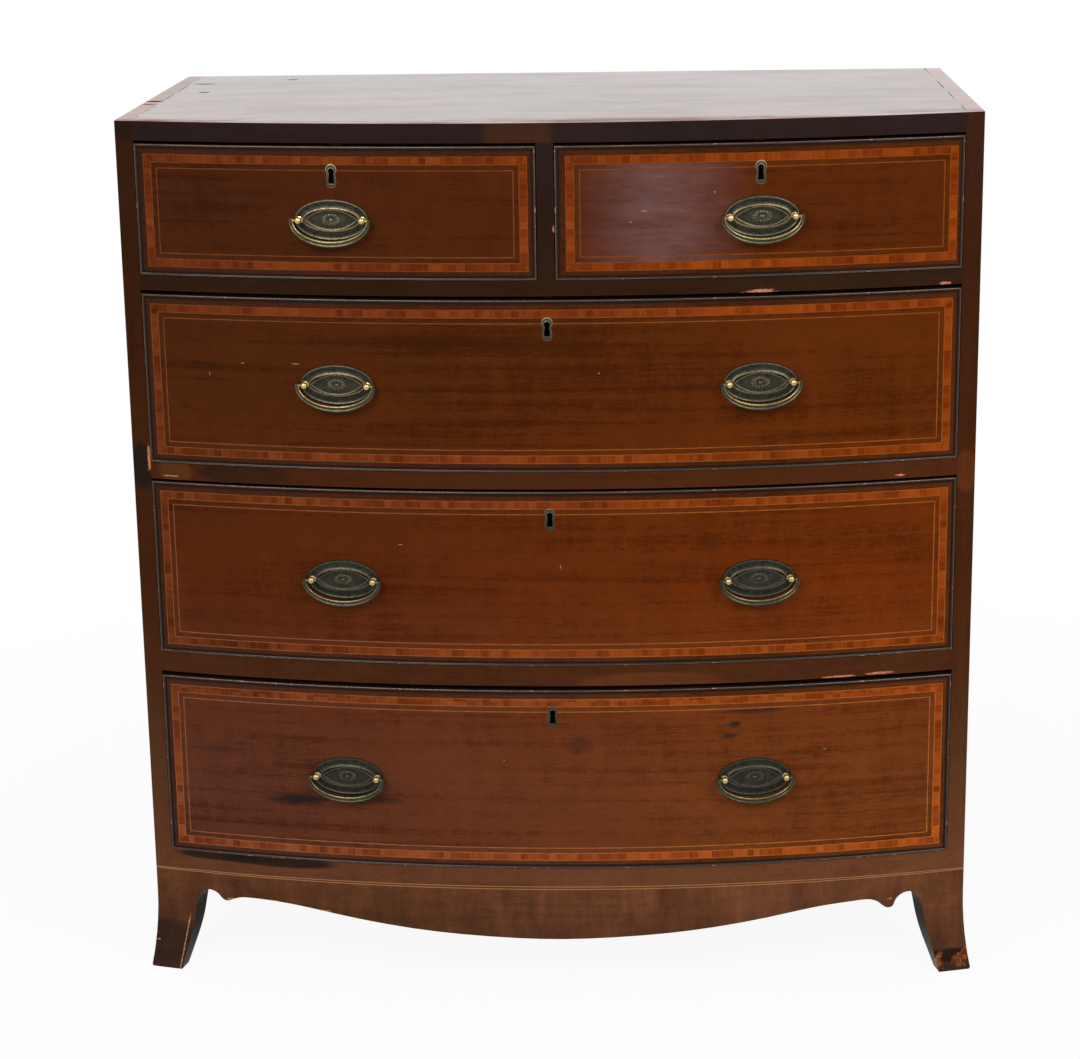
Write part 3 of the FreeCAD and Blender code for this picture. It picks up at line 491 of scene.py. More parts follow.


# %% [markdown]
# ## Dark cockbead
# The beads are stained nearly black. They stand proud of the veneer, so hands and skirts have worn the stain
# off their noses here and there, down to the pale wood. The pale line along each nose is partly that wear and
# partly a painted highlight.


# %% The bead
def make_bead_finish():
    material, tree, shader = blank("ebonised_bead")
    at = sheet_place(tree)
    across = split(tree, at)[1]
    body = streaked(tree, at, (9.0, 500.0, 1.0), 4.0, 0.6)
    colour = ramp(tree, body, (0.3, shade(20, 14, 13)), (0.7, shade(38, 27, 23)))
    # the pale line along the nose is partly worn stain and partly a painted highlight
    nose = near(tree, across, 0.9 * MM, 0.15 * MM, 0.6 * MM)
    patchy = streaked(tree, at, (17.0, 1.0, 1.0), 5.0, 0.7)
    nose_wear_and_highlight = fade(tree, patchy, 0.4, 0.6, 0.3, 0.75)
    colour = paint(tree, colour, nose, shade(124, 94, 76), nose_wear_and_highlight)
    z = split(tree, object_place(tree))[2]
    knocks = streaked(tree, at, (95.0, 300.0, 1.0), 3.0, 0.6)
    knocks = calc(tree, "ADD", knocks, fade(tree, z, 0.2, 0.7, 0.045, 0.0))
    chips = fade(tree, knocks, 0.64, 0.67)
    colour = paint(tree, colour, chips, shade(190, 146, 116), nose)
    gloss = uneven(tree, body, 0.14, 0.26)
    close(
        tree, shader, colour, gloss, body, 0.03, specular_ior_level=0.36,
        specular_tint=(1.0, 0.85, 0.75, 1.0),
    )
    return material


finishes["bead"] = make_bead_finish()
print("the bead finish has", len(finishes["bead"].node_tree.nodes), "nodes")

# %% [markdown]
# ## Bending veneer to the bow
# Veneer is cut flat and pressed to the curve. Geometry Nodes do the same here: every strip is drawn
# flat, with its length along X, and one tree wraps it round the bow. Its inputs are the radius and the
# centre of the bow, so a straight or a deeper front would need only other numbers.


# %% The tree that bends
def socket_id(tree, label):
    for item in tree.interface.items_tree:
        if item.item_type == "SOCKET" and item.in_out == "INPUT" and item.name == label:
            return item.identifier
    raise KeyError(label)


def start_tree(name, **sizes):
    """A Geometry Nodes tree with a geometry input, one number for each size, and a material."""
    tree = bpy.data.node_groups.new(name, "GeometryNodeTree")
    tree.interface.new_socket("Geometry", in_out="INPUT", socket_type="NodeSocketGeometry")
    for label, value in sizes.items():
        kind = "NodeSocketInt" if isinstance(value, int) else "NodeSocketFloat"
        socket = tree.interface.new_socket(label.replace("_", " "), in_out="INPUT", socket_type=kind)
        socket.default_value = value
    tree.interface.new_socket("material", in_out="INPUT", socket_type="NodeSocketMaterial")
    tree.interface.new_socket("Geometry", in_out="OUTPUT", socket_type="NodeSocketGeometry")
    return tree, tree.nodes.new("NodeGroupInput"), tree.nodes.new("NodeGroupOutput")


def end_tree(tree, entry, leave, geometry):
    """Every tree ends the same way: real geometry, then its material."""
    real = add(tree, "GeometryNodeRealizeInstances", geometry)
    painted = add(
        tree, "GeometryNodeSetMaterial", Geometry=real.outputs[0], Material=entry.outputs["material"]
    )
    feed(tree, painted.outputs[0], leave.inputs[0])
    return tree


def run_tree(piece, tree, material, **sizes):
    """Runs a tree on a piece and keeps the result as a plain mesh."""
    modifier = piece.modifiers.new(tree.name, "NODES")
    modifier.node_group = tree
    modifier[socket_id(tree, "material")] = material
    for label, value in sizes.items():
        modifier[socket_id(tree, label.replace("_", " "))] = value
    return baked(piece)


def baked(piece):
    """Turns what the modifiers make into the piece's own mesh, and removes them."""
    now = piece.evaluated_get(bpy.context.evaluated_depsgraph_get())
    mesh = bpy.data.meshes.new_from_object(now)
    mesh.name = piece.name
    piece.modifiers.clear()
    piece.data = mesh
    return piece


def bend_tree():
    tree, entry, leave = start_tree("bend to the bow", bow_radius=1.0, bow_centre=1.0)
    where = add(tree, "ShaderNodeSeparateXYZ", tree.nodes.new("GeometryNodeInputPosition").outputs[0])
    radius = calc(tree, "SUBTRACT", entry.outputs["bow radius"], where.outputs["Y"])
    angle = calc(tree, "DIVIDE", where.outputs["X"], entry.outputs["bow radius"])
    x = calc(tree, "MULTIPLY", radius, calc(tree, "SINE", angle))
    forward = calc(tree, "MULTIPLY", radius, calc(tree, "COSINE", angle))
    y = calc(tree, "SUBTRACT", entry.outputs["bow centre"], forward)
    bent = add(
        tree, "GeometryNodeSetPosition", Geometry=entry.outputs["Geometry"],
        Position=join(tree, x, y, where.outputs["Z"]),
    )
    return end_tree(tree, entry, leave, bent.outputs[0])


bending = bend_tree()


def bend(piece, material):
    run_tree(piece, bending, material, bow_radius=bow_radius, bow_centre=bow_centre_y)
    piece.data.set_sharp_from_angle(angle=math.radians(35))
    return piece


print("the bending tree has", len(bending.nodes), "nodes")

# %% [markdown]
# ## Strips and frames
# Banding, stringing and beads all run round a drawer front as a frame with mitred corners. One helper
# draws such a frame from its cross section: each corner of the section becomes a rectangle round the
# drawer, and the rectangles are joined. Because a corner that lies further in gives a smaller
# rectangle, the mitres come out by themselves.


# %% Make a mesh
def new_piece(name, mesh):
    piece = bpy.data.objects.new(name, mesh)
    bpy.context.collection.objects.link(piece)
    return piece


def mesh_from(name, points, faces, sheet=None):
    """A mesh with faces that point outwards. sheet gives a flat place for each corner of each face."""
    mesh = bpy.data.meshes.new(name)
    mesh.from_pydata([tuple(point) for point in points], [], faces)
    if sheet:
        flat = mesh.uv_layers.new(name="flat")
        for loop, place in zip(flat.data, [place for corners in sheet for place in corners]):
            loop.uv = place
    work = bmesh.new()
    work.from_mesh(mesh)
    bmesh.ops.recalc_face_normals(work, faces=work.faces)
    work.to_mesh(mesh)
    work.free()
    mesh.shade_smooth()
    return mesh


def skin(row, after, count):
    """The faces between two closed rows of points, each row count points long."""
    for i in range(count):
        j = (i + 1) % count
        yield row * count + i, row * count + j, after * count + j, after * count + i


print("between two rows of three points lie", len(list(skin(0, 1, 3))), "faces")

# %% Draw a mitred frame
step_along = 12.0 * MM
# The bead, and the margin inside it. The bands lie a little lower under the top bead, and on the
# short drawers they were laid a little to the right, and the margin takes that up.
bead_thick = 3.2
margin_wide = 6.8
top_drop = 1.6
band_slip = {"short_left": 0.8, "short_right": 2.6}


def rectangle(left, right, bottom, top, slip, inset, depth, across, upward):
    """Points round a rectangle, anticlockwise from its lower left corner."""
    past_bead = min(max((inset / MM - bead_thick) / margin_wide, 0.0), 1.0)
    l, r = left + inset + past_bead * slip, right - inset + past_bead * slip
    b, t = bottom + inset, top - inset - past_bead * top_drop * MM
    points = [(l + (r - l) * i / across, depth, b) for i in range(across)]
    points += [(r, depth, b + (t - b) * i / upward) for i in range(upward)]
    points += [(r - (r - l) * i / across, depth, t) for i in range(across)]
    points += [(l, depth, t - (t - b) * i / upward) for i in range(upward)]
    return points


def flat_frame(left, right, bottom, top, slip, section):
    """A mitred frame. section lists (distance in from the edge, depth), round a closed outline.

    slip is how far all that lies inside the margin was laid to the right of the middle."""
    across = max(2, round((right - left) / step_along))
    upward = max(2, round((top - bottom) / (3 * step_along)))
    loops = [
        rectangle(left, right, bottom, top, slip, inset, depth, across, upward)
        for inset, depth in section
    ]
    count = len(loops[0])
    lying = [i < across or across + upward <= i < 2 * across + upward for i in range(count)]
    points = [point for loop in loops for point in loop]
    faces, sheet = [], []
    for row, (inset, depth) in enumerate(section):
        after = (row + 1) % len(section)
        for i, face in enumerate(skin(row, after, count)):
            axis = 0 if lying[i] else 2
            insets = (inset, inset, section[after][0], section[after][0])
            faces.append(face)
            sheet.append([(points[k][axis], value) for k, value in zip(face, insets)])
    return points, faces, sheet


print("a frame has a point every", step_along, "m along the drawer")


# %% Draw a sheet
def flat_sheet(left, right, bottom, top, front, back):
    """A closed sheet of veneer, marked with its place on the drawer front."""
    across = max(2, round((right - left) / step_along))
    upward = max(2, round((top - bottom) / (2 * step_along)))
    points, faces = [], []
    for depth in (front, back):
        for row in range(upward + 1):
            for i in range(across + 1):
                points.append((
                    left + (right - left) * i / across, depth, bottom + (top - bottom) * row / upward
                ))
    wide = across + 1
    layer = wide * (upward + 1)
    for row in range(upward):
        for i in range(across):
            k = row * wide + i
            faces.append((k, k + 1, k + wide + 1, k + wide))
            faces.append((layer + k, layer + k + wide, layer + k + wide + 1, layer + k + 1))
    rim = [i for i in range(across)] + [row * wide + across for row in range(upward)]
    rim += [upward * wide + across - i for i in range(across)]
    rim += [(upward - row) * wide for row in range(upward)]
    for a, b in zip(rim, rim[1:] + rim[:1]):
        faces.append((a, b, layer + b, layer + a))
    sheet = [[(points[k][0], points[k][2]) for k in face] for face in faces]
    return points, faces, sheet


def merged(*drawn):
    """Several drawn shapes as one. Each has points, faces, and marks such as flat places or rub."""
    points, faces, marks = [], [], []
    for some_points, some_faces, some_marks in drawn:
        offset = len(points)
        points += some_points
        faces += [tuple(k + offset for k in face) for face in some_faces]
        marks += some_marks
    return points, faces, marks


# %% [markdown]
# ## The keyhole
# Each lock has a brass thread escutcheon let into the veneer. Its outline is a round head on a stem
# that widens to a round foot. The same outline, a hair larger, is cut out of the veneer.


# %% Keyhole outlines
def keyhole_outline(head_radius, half_tall, waist, foot, round_foot, arc_points=18):
    """Points round a keyhole, from the right of the waist, over the head, to the rounded foot."""
    start = -math.acos(waist / head_radius)
    end = math.pi - start
    head_z = half_tall - head_radius
    outline = []
    for i in range(arc_points + 1):
        angle = start + (end - start) * i / arc_points
        outline.append((head_radius * math.cos(angle), head_z + head_radius * math.sin(angle)))
    for side in (-1, 1):
        for i in range(7):
            turn = math.radians(15 * i) if side < 0 else math.radians(90 - 15 * i)
            outline.append((
                side * (foot - round_foot + round_foot * math.cos(turn)),
                -half_tall + round_foot - round_foot * math.sin(turn),
            ))
    return [(x * MM, z * MM) for x, z in outline]


outer_keyhole = keyhole_outline(6.65, 14.0, 5.0, 6.1, 5.6)
inner_keyhole = keyhole_outline(3.6, 8.9, 2.7, 3.6, 1.4)
print("a keyhole has", len(outer_keyhole), "points")


def prism(name, outline, front, back):
    """A closed solid with that outline in X and Z."""
    count = len(outline)
    points = [(x, front, z) for x, z in outline] + [(x, back, z) for x, z in outline]
    faces = [tuple(range(count)), tuple(range(count, 2 * count))[::-1]]
    faces += [(i, (i + 1) % count, count + (i + 1) % count, count + i) for i in range(count)]
    return new_piece(name, mesh_from(name, points, faces))


def cut_keyhole(piece, key):
    """Cuts the bed of the escutcheon out of a flat piece of veneer."""
    along, z = key
    outline = [(along + x * 1.01, z + y * 1.01) for x, y in outer_keyhole]
    cutter = prism("keyhole cutter", outline, -0.01, 0.01)
    modifier = piece.modifiers.new("keyhole", "BOOLEAN")
    modifier.object = cutter
    modifier.operation = "DIFFERENCE"
    modifier.solver = "EXACT"
    baked(piece)
    bpy.data.objects.remove(cutter, do_unlink=True)
    return piece


# %% [markdown]
# ## Laying the veneers
# From its bead inwards a drawer front has a dark margin, a thin string, the crossband, a second
# string, a ring of mahogany, a third string and the field. Each wood is a piece of its own, as thick
# as hand sawn veneer, and stands a hair proud of the solid front so that it hides the board below.

# %% Widths of the bands, from the edge inwards
outer_string = 1.0
band_wide = 8.2
middle_string = 1.1
ring_wide = 5.6
inner_string = 1.3
veneer_front = -0.06
veneer_back = 0.55


def band_section(start, wide):
    """The closed section of a flat strip that starts that far in from the drawer's edge."""
    inner = start + wide
    return [
        (start * MM, veneer_back * MM), (start * MM, veneer_front * MM),
        (inner * MM, veneer_front * MM), (inner * MM, veneer_back * MM),
    ]


def lay(name, drawn, finish, key=None):
    piece = new_piece(name, mesh_from(name, *drawn))
    if key:
        cut_keyhole(piece, key)
    return bend(piece, finishes[finish])


for name, drawer in drawers.items():
    slip = band_slip.get(name, 0.0) * MM
    edges = (drawer["left"], drawer["right"], drawer["bottom"], drawer["top"], slip)
    strip_widths = (
        ("margin", margin_wide), ("string", outer_string), ("band", band_wide),
        ("string", middle_string), ("ring", ring_wide), ("string", inner_string),
    )
    strips = {"margin": [], "string": [], "band": [], "ring": []}
    inset = bead_thick
    for kind, wide in strip_widths:
        strips[kind].append(flat_frame(*edges, band_section(inset, wide)))
        inset += wide
    field_edges = (
        edges[0] + inset * MM + slip, edges[1] - inset * MM + slip,
        edges[2] + inset * MM, edges[3] - (inset + top_drop) * MM,
    )
    field = flat_sheet(*field_edges, veneer_front * MM, veneer_back * MM)
    # the ring is of the same sheet as the field, so its grain runs on
    for points, faces, sheet in strips["ring"]:
        sheet[:] = [[(points[k][0], points[k][2]) for k in face] for face in faces]
    laid = [
        lay(name + "_field_veneer", merged(field, *strips["ring"]), "field", drawer["key"]),
        lay(name + "_edge_veneer", merged(*strips["margin"]), "margin"),
        lay(name + "_crossband", merged(*strips["band"]), "band"),
        lay(name + "_stringing", merged(*strips["string"]), "string", drawer["key"]),
    ]
    for piece in laid:
        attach(piece, name + "_drawer")
print("veneers laid on", len(drawers), "drawers")

# %% [markdown]
# ## The cockbeads
# A cockbead is a thin strip let into a rebate round the drawer front, with a rounded nose that stands
# a millimetre and a half proud. It keeps the edges of the veneer from chipping. The section has a half
# round nose, and the mitred frame helper does the rest.

# %% Run the beads
bead_proud = 1.6
bead_depth = 8.0


def bead_section():
    half = bead_thick / 2
    section = [(0.0, bead_depth), (0.0, -bead_proud + half)]
    for i in range(1, 8):
        angle = math.pi * i / 8
        section.append((half - half * math.cos(angle), -bead_proud + half - half * math.sin(angle)))
    section += [(bead_thick, -bead_proud + half), (bead_thick, bead_depth)]
    return [(inset * MM, depth * MM) for inset, depth in section]


for name, drawer in drawers.items():
    edges = (drawer["left"], drawer["right"], drawer["bottom"], drawer["top"], 0.0)
    drawn = flat_frame(*edges, bead_section())
    beading = new_piece(name + "_beading", mesh_from(name + "_beading", *drawn))
    bend(beading, finishes["bead"])
    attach(beading, name + "_drawer")
    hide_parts(name + "_cockbeads")
print("a bead has", len(bead_section()), "points in its section")

# %% [markdown]
# ## Brass
# The brasses have gone dark olive and brown. Where fingers and cloths reach, along edges, ridges and
# the noses of the petals, they are rubbed and show pale metal. Each point of a brass carries a number
# called rub, from 0 in the hollows to 1 where it is worn most, and the finish reads it. The upper
# drawers are opened most, so their brasses shine, and those of the bottom drawer are dull.


# %% Dark and bright brass
def make_brass(name, dark, green, bright, gloss, dullest=0.35, always=0.0):
    material, tree, shader = blank(name)
    at = object_place(tree)
    tarnish = noise(tree, at, 190.0, 5.0, 0.65)
    colour = ramp(tree, tarnish, (0.35, shade(*dark)), (0.62, shade(*green)))
    rub = add(tree, "ShaderNodeAttribute", attribute_name="rub").outputs["Fac"]
    rub = calc(tree, "MAXIMUM", rub, always)
    rub = calc(tree, "MULTIPLY", rub, fade(tree, noise(tree, at, 330.0, 3.0), 0.3, 0.6, 0.45, 1.0))
    rub = calc(tree, "MULTIPLY", rub, fade(tree, split(tree, at)[2], 0.45, 0.98, dullest, 1.0))
    colour = paint(tree, colour, rub, shade(*bright))
    rough = fade(tree, rub, 0.0, 1.0, gloss, gloss * 0.6)
    close(tree, shader, colour, rough, tarnish, 0.05, metallic=0.85)
    return material


# finish, name, dark, green and rubbed swatch, gloss
for finish, *recipe in (
    ("plate", "stamped_brass", (25, 26, 22), (46, 48, 39), (178, 150, 112), 0.4),
    ("bail", "cast_brass", (36, 36, 28), (60, 60, 45), (190, 170, 108), 0.36),
    ("ball", "turned_brass", (110, 92, 52), (150, 130, 82), (222, 198, 138), 0.24, 0.7, 0.6),
    ("escutcheon", "thread_brass", (38, 31, 21), (64, 55, 37), (206, 190, 150), 0.38),
):
    finishes[finish] = make_brass(*recipe)
print("brasses mixed")


def settle(piece, worn, place, sharp):
    """Marks the rub of a brass, keeps edges over that many degrees crisp, and sets it in its place."""
    mark_rub(piece.data, worn)
    piece.data.transform(place)
    piece.data.set_sharp_from_angle(angle=math.radians(sharp))
    return piece


def cast(name, shape, finish, place, sharp):
    points, faces, worn = shape
    piece = new_piece(name, mesh_from(name, points, faces))
    piece.data.materials.append(finishes[finish])
    return settle(piece, worn, place, sharp)


def mark_rub(mesh, values):
    """Gives the first points of a mesh their rub. Any further points, such as beads, get a little."""
    if "rub" not in mesh.attributes:
        mesh.attributes.new("rub", "FLOAT", "POINT")
    rub = mesh.attributes["rub"].data
    for i, item in enumerate(rub):
        item.value = values[i] if i < len(values) else 0.3


# %% [markdown]
# ## Back plates
# A plate is an oval with a raised rim, a hollow band, a beaded ridge, and a long boss with pointed
# ends and a rosette. Its shape follows a rule, so it is drawn as ovals, each a little further in and
# higher or lower than the last. The beads on the ridge repeat, and Geometry Nodes set them round it.

# %% Sizes of the plate
plate_half_wide = 44.5
plate_half_tall = 24.4
# distance in from the rim, height above the wood, rub
plate_profile = [
    (0.0, -0.55, 0.0), (0.0, 0.9, 0.1), (0.35, 1.35, 0.1), (1.0, 1.4, 0.1), (1.5, 1.3, 0.2),
    (1.9, 1.45, 0.5), (2.3, 1.3, 0.2), (3.0, 0.8, 0.0), (4.6, 0.62, 0.0), (7.4, 0.6, 0.0),
    (9.0, 1.0, 0.0), (10.0, 1.7, 0.2), (10.9, 2.2, 0.55), (11.8, 2.25, 0.25), (12.8, 1.8, 0.0),
    (13.6, 1.25, 0.0), (15.0, 1.1, 0.0),
]
boss_profile = [
    (0.0, 0.6, 0.0), (0.25, 2.2, 0.15), (0.7, 2.75, 0.4), (1.2, 2.7, 0.35), (1.9, 2.2, 0.05),
    (3.4, 2.0, 0.0), (6.0, 2.1, 0.05),
]
boss_half_wide = 33.2
boss_half_tall = 12.8
oval_points = 96
print("a plate is", 2 * plate_half_wide, "mm wide and", 2 * plate_half_tall, "mm tall")


# %% Close hoops to a skin
def hoop_skin(hoops):
    """The points of several hoops, and the faces between them."""
    count = len(hoops[0])
    points = [point for hoop in hoops for point in hoop]
    faces = [face for row in range(len(hoops) - 1) for face in skin(row, row + 1, count)]
    return count, points, faces


def closed_hoops(hoops, back, rubs):
    """A closed skin over hoops of points, with a middle point in front and a flat back."""
    count, points, faces = hoop_skin(hoops)
    worn = [rub for rub in rubs for _ in range(count)]
    last = len(points) - count
    front_depth = hoops[-1][0][1]
    points += [(0.0, front_depth, 0.0), (0.0, back, 0.0)]
    worn += [rubs[-1], 0.0]
    for i in range(count):
        j = (i + 1) % count
        faces.append((last + i, last + j, len(points) - 2))
        faces.append((j, i, len(points) - 1))
    return points, faces, worn


# %% Hoops of the plate
def oval_hoop(inset, height):
    hoop = []
    for i in range(oval_points):
        angle = 2 * math.pi * i / oval_points
        hoop.append((
            (plate_half_wide - inset) * math.cos(angle) * MM, -height * MM,
            (plate_half_tall - inset) * math.sin(angle) * MM,
        ))
    return hoop


def boss_hoop(inset, height, points=64):
    """Two arcs that meet in a point at each end."""
    wide = boss_half_wide - inset * 1.9
    tall = boss_half_tall - inset
    radius = (wide ** 2 + tall ** 2) / (2 * tall)
    reach = math.asin(wide / radius)
    hoop = []
    for side in (1, -1):
        for i in range(points // 2):
            angle = side * (reach - 2 * reach * i / (points // 2))
            x = radius * math.sin(angle)
            z = side * (radius * math.cos(angle) - radius + tall)
            hoop.append((x * MM, -height * MM, z * MM))
    return hoop


print("a hoop has", len(oval_hoop(0.0, 0.0)), "points, and one of the boss", len(boss_hoop(0.0, 0.0)))

# %% Draw the rosette and join the plate
petal_count = 16
rosette_half_wide = 12.0
rosette_half_tall = 7.6


def rosette():
    """Petals round a central bead. Each hoop has a share of the size, a lift, a ripple and a rub."""
    spokes = petal_count * 8
    hoops, worn = [], []
    for share, lift, ripple, rub in (
        (1.0, 2.0, 0.0, 0.0), (0.99, 2.4, 0.0, 0.05), (0.88, 2.75, 0.42, 0.4), (0.7, 2.95, 0.46, 0.32),
        (0.5, 2.8, 0.36, 0.15), (0.34, 2.5, 0.12, 0.0), (0.27, 2.5, 0.0, 0.0), (0.22, 3.0, 0.0, 0.2),
        (0.15, 3.3, 0.0, 0.35), (0.06, 3.4, 0.0, 0.35),
    ):
        hoop = []
        for i in range(spokes):
            angle = 2 * math.pi * i / spokes
            wave = abs(math.sin(angle * petal_count / 2))
            reach = share * (0.93 + 0.07 * wave) if share > 0.8 else share
            hoop.append((
                rosette_half_wide * reach * math.cos(angle) * MM, -(lift + ripple * wave) * MM,
                rosette_half_tall * reach * math.sin(angle) * MM,
            ))
            worn.append(rub * wave ** 3 if ripple else rub)
        hoops.append(hoop)
    points, faces, _ = closed_hoops(hoops, -1.0 * MM, [0.0] * len(hoops))
    return points, faces, worn + [0.35, 0.0]


plate_shape = merged(
    closed_hoops(
        [oval_hoop(inset, height) for inset, height, _ in plate_profile], 0.55 * MM,
        [rub for _, _, rub in plate_profile],
    ),
    closed_hoops(
        [boss_hoop(inset, height) for inset, height, _ in boss_profile], -0.6 * MM,
        [rub for _, _, rub in boss_profile],
    ),
    rosette(),
)
print("one plate has", len(plate_shape[1]), "faces before its beads")


# %% Beads on an oval
def bead_row_tree():
    """Adds a row of small beads along an oval to whatever comes in."""
    tree, entry, leave = start_tree(
        "beads on an oval", half_wide=1.0, half_tall=1.0, height=0.0, bead_radius=0.1, bead_count=80
    )
    ring = add(tree, "GeometryNodeCurvePrimitiveCircle", mode="RADIUS", Resolution=256, Radius=1.0)
    oval = join(tree, entry.outputs["half wide"], entry.outputs["half tall"], 1.0)
    quarter = (math.pi / 2, 0.0, 0.0)
    stand = add(
        tree, "GeometryNodeTransform", Geometry=ring.outputs["Curve"], Scale=oval, Rotation=quarter
    )
    outwards = join(tree, 0.0, calc(tree, "MULTIPLY", entry.outputs["height"], -1.0), 0.0)
    lift = add(tree, "GeometryNodeTransform", Geometry=stand.outputs[0], Translation=outwards)
    spaced = add(
        tree, "GeometryNodeResampleCurve", mode="COUNT", Curve=lift.outputs[0],
        Count=entry.outputs["bead count"],
    )
    bead = add(tree, "GeometryNodeMeshIcoSphere", Radius=entry.outputs["bead radius"], Subdivisions=2)
    beads = add(
        tree, "GeometryNodeInstanceOnPoints", Points=spaced.outputs[0], Instance=bead.outputs["Mesh"]
    )
    both = add(tree, "GeometryNodeJoinGeometry")
    feed(tree, entry.outputs["Geometry"], both.inputs[0])
    feed(tree, beads.outputs[0], both.inputs[0])
    return end_tree(tree, entry, leave, both.outputs[0])


bead_row = bead_row_tree()
bead_inset = 8.2
print("the bead tree has", len(bead_row.nodes), "nodes")


def make_plate(name, place):
    points, faces, worn = plate_shape
    piece = new_piece(name, mesh_from(name, points, faces))
    run_tree(
        piece, bead_row, finishes["plate"], half_wide=(plate_half_wide - bead_inset) * MM,
        half_tall=(plate_half_tall - bead_inset) * MM, height=0.95 * MM, bead_radius=0.5 * MM, bead_count=110,
    )
    return settle(piece, worn, place, 40)


# %% [markdown]
# ## Bails
# A bail is cast flat, with a bead along each edge of its face and a hollow between them. It hangs by
# two pins that turn in the balls. The section is carried round half an oval, narrows towards its
# tips, and is closed at both ends. The pins are short rods with a small shoulder.

# %% Draw the bail
bail_outer = (49.0, 31.5)
bail_inner = (43.6, 23.8)
bail_rise = 2.0
# place across the band from 0 at its inner edge to 1 at its outer edge, depth, and rub
bail_section = [
    (0.10, 1.9, 0.0), (0.0, 1.3, 0.1), (0.0, -1.0, 0.25), (0.07, -1.8, 0.6), (0.16, -2.15, 0.9),
    (0.26, -1.9, 0.4), (0.34, -1.35, 0.0), (0.5, -1.15, 0.0), (0.64, -1.3, 0.0), (0.72, -1.75, 0.15),
    (0.79, -2.0, 0.2), (0.88, -1.85, 0.0), (1.0, -1.0, 0.0), (1.0, 1.3, 0.0), (0.90, 1.9, 0.0),
]


def rod(radius, x_from, x_to, sides=20):
    """A closed round rod along X at the height of the pins."""
    hoops = []
    for x, share in ((x_from, 0.7), (x_from + 0.4, 1.0), (x_to - 0.4, 1.0), (x_to, 0.7)):
        hoops.append([
            (x * MM, (-pin_proud + radius * share * math.cos(2 * math.pi * i / sides)) * MM,
             radius * share * math.sin(2 * math.pi * i / sides) * MM)
            for i in range(sides)
        ])
    return capped(hoops, [0.5] * sides)


def capped(hoops, rubs):
    """Joins hoops in a row and closes both ends with one face each."""
    count, points, faces = hoop_skin(hoops)
    faces += [tuple(range(count)), tuple(range(len(points) - count, len(points)))]
    return points, faces, rubs * len(hoops)


def bail_band(steps=72):
    hoops = []
    for i in range(-2, steps + 3):
        turn = math.pi * min(max(i, 0), steps) / steps
        rise = 0.0
        if i < 0 or i > steps:
            rise = bail_rise * (0.6 if i in (-1, steps + 1) else 1.0)
        slim = 1.0 - 0.28 * (1.0 if i in (-2, steps + 2) else 0.0)
        hoop = []
        for across, depth, _ in bail_section:
            across = 0.5 + (across - 0.5) * slim
            wide = bail_inner[0] + (bail_outer[0] - bail_inner[0]) * across
            drop = bail_inner[1] + (bail_outer[1] - bail_inner[1]) * across
            hoop.append((
                wide * math.cos(turn) * MM, (-pin_proud + depth * slim) * MM,
                (rise - drop * math.sin(turn)) * MM,
            ))
        hoops.append(hoop)
    return capped(hoops, [rub for _, _, rub in bail_section])


bail_shape = merged(
    bail_band(),
    rod(1.5, 34.9, 44.6), rod(1.5, -44.6, -34.9),
    rod(1.95, 42.5, 45.0), rod(1.95, -45.0, -42.5),
)
print("one bail has", len(bail_shape[1]), "faces")


# %% [markdown]
# ## Escutcheons
# The thread escutcheon is a narrow brass ring in the shape of a keyhole, pressed into the veneer
# until it is nearly flush. Its section is carried between the outer and the inner outline.


# %% Draw the escutcheon
# place from the outer to the inner outline, depth, and rub
escutcheon_section = [
    (0.0, 1.7, 0.0), (0.0, -0.12, 0.3), (0.12, -0.28, 0.8), (0.3, -0.24, 0.05), (0.7, -0.24, 0.05),
    (0.88, -0.28, 0.6), (1.0, -0.05, 0.1), (1.0, 1.7, 0.0),
]


def draw_escutcheon():
    points, faces, worn = [], [], []
    for share, depth, rub in escutcheon_section:
        # the rub grows from the foot of the escutcheon up to its head
        worn += [rub * (0.25 + 0.75 * (0.5 + z / (28 * MM)) ** 2) for _, z in outer_keyhole]
        for (outer_x, outer_z), (inner_x, inner_z) in zip(outer_keyhole, inner_keyhole):
            points.append((
                outer_x + (inner_x - outer_x) * share, depth * MM, outer_z + (inner_z - outer_z) * share
            ))
    for row in range(len(escutcheon_section)):
        faces += skin(row, (row + 1) % len(escutcheon_section), len(outer_keyhole))
    return points, faces, worn


escutcheon_shape = draw_escutcheon()
print("one escutcheon has", len(escutcheon_shape[1]), "faces")


# %% Fit the brasses
for name, drawer in drawers.items():
    body = name + "_drawer"
    key_place = on_bow(*drawer["key"])
    brasses = [cast(name + "_escutcheon", escutcheon_shape, "escutcheon", key_place, 35)]
    for bail_name, (along, z) in drawer["handles"].items():
        place = on_bow(along, z)
        brasses.append(make_plate(bail_name.replace("_bail", "_backplate"), place))
        bail = cast(bail_name.replace("_bail", "_swing_bail"), bail_shape, "bail", place, 38)
        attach(bail, bail_name)
        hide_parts(bail_name)
    for piece in brasses:
        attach(piece, body)
        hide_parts(name + "_plates")
print("brasses fitted:", sum(1 + 2 * len(drawer["handles"]) for drawer in drawers.values()))

# %% [markdown]
# ## Mahogany of the case
# The rails and the front edges of the sides are faced with darker veneer in several lengths, whose
# joints show as small steps in tone. The outsides of the case are plain boards with upright grain.
# A double string runs along the foot of the case, across the apron and both feet, which have a
# mottled figure. Where the veneer was knocked, paler wood shows.

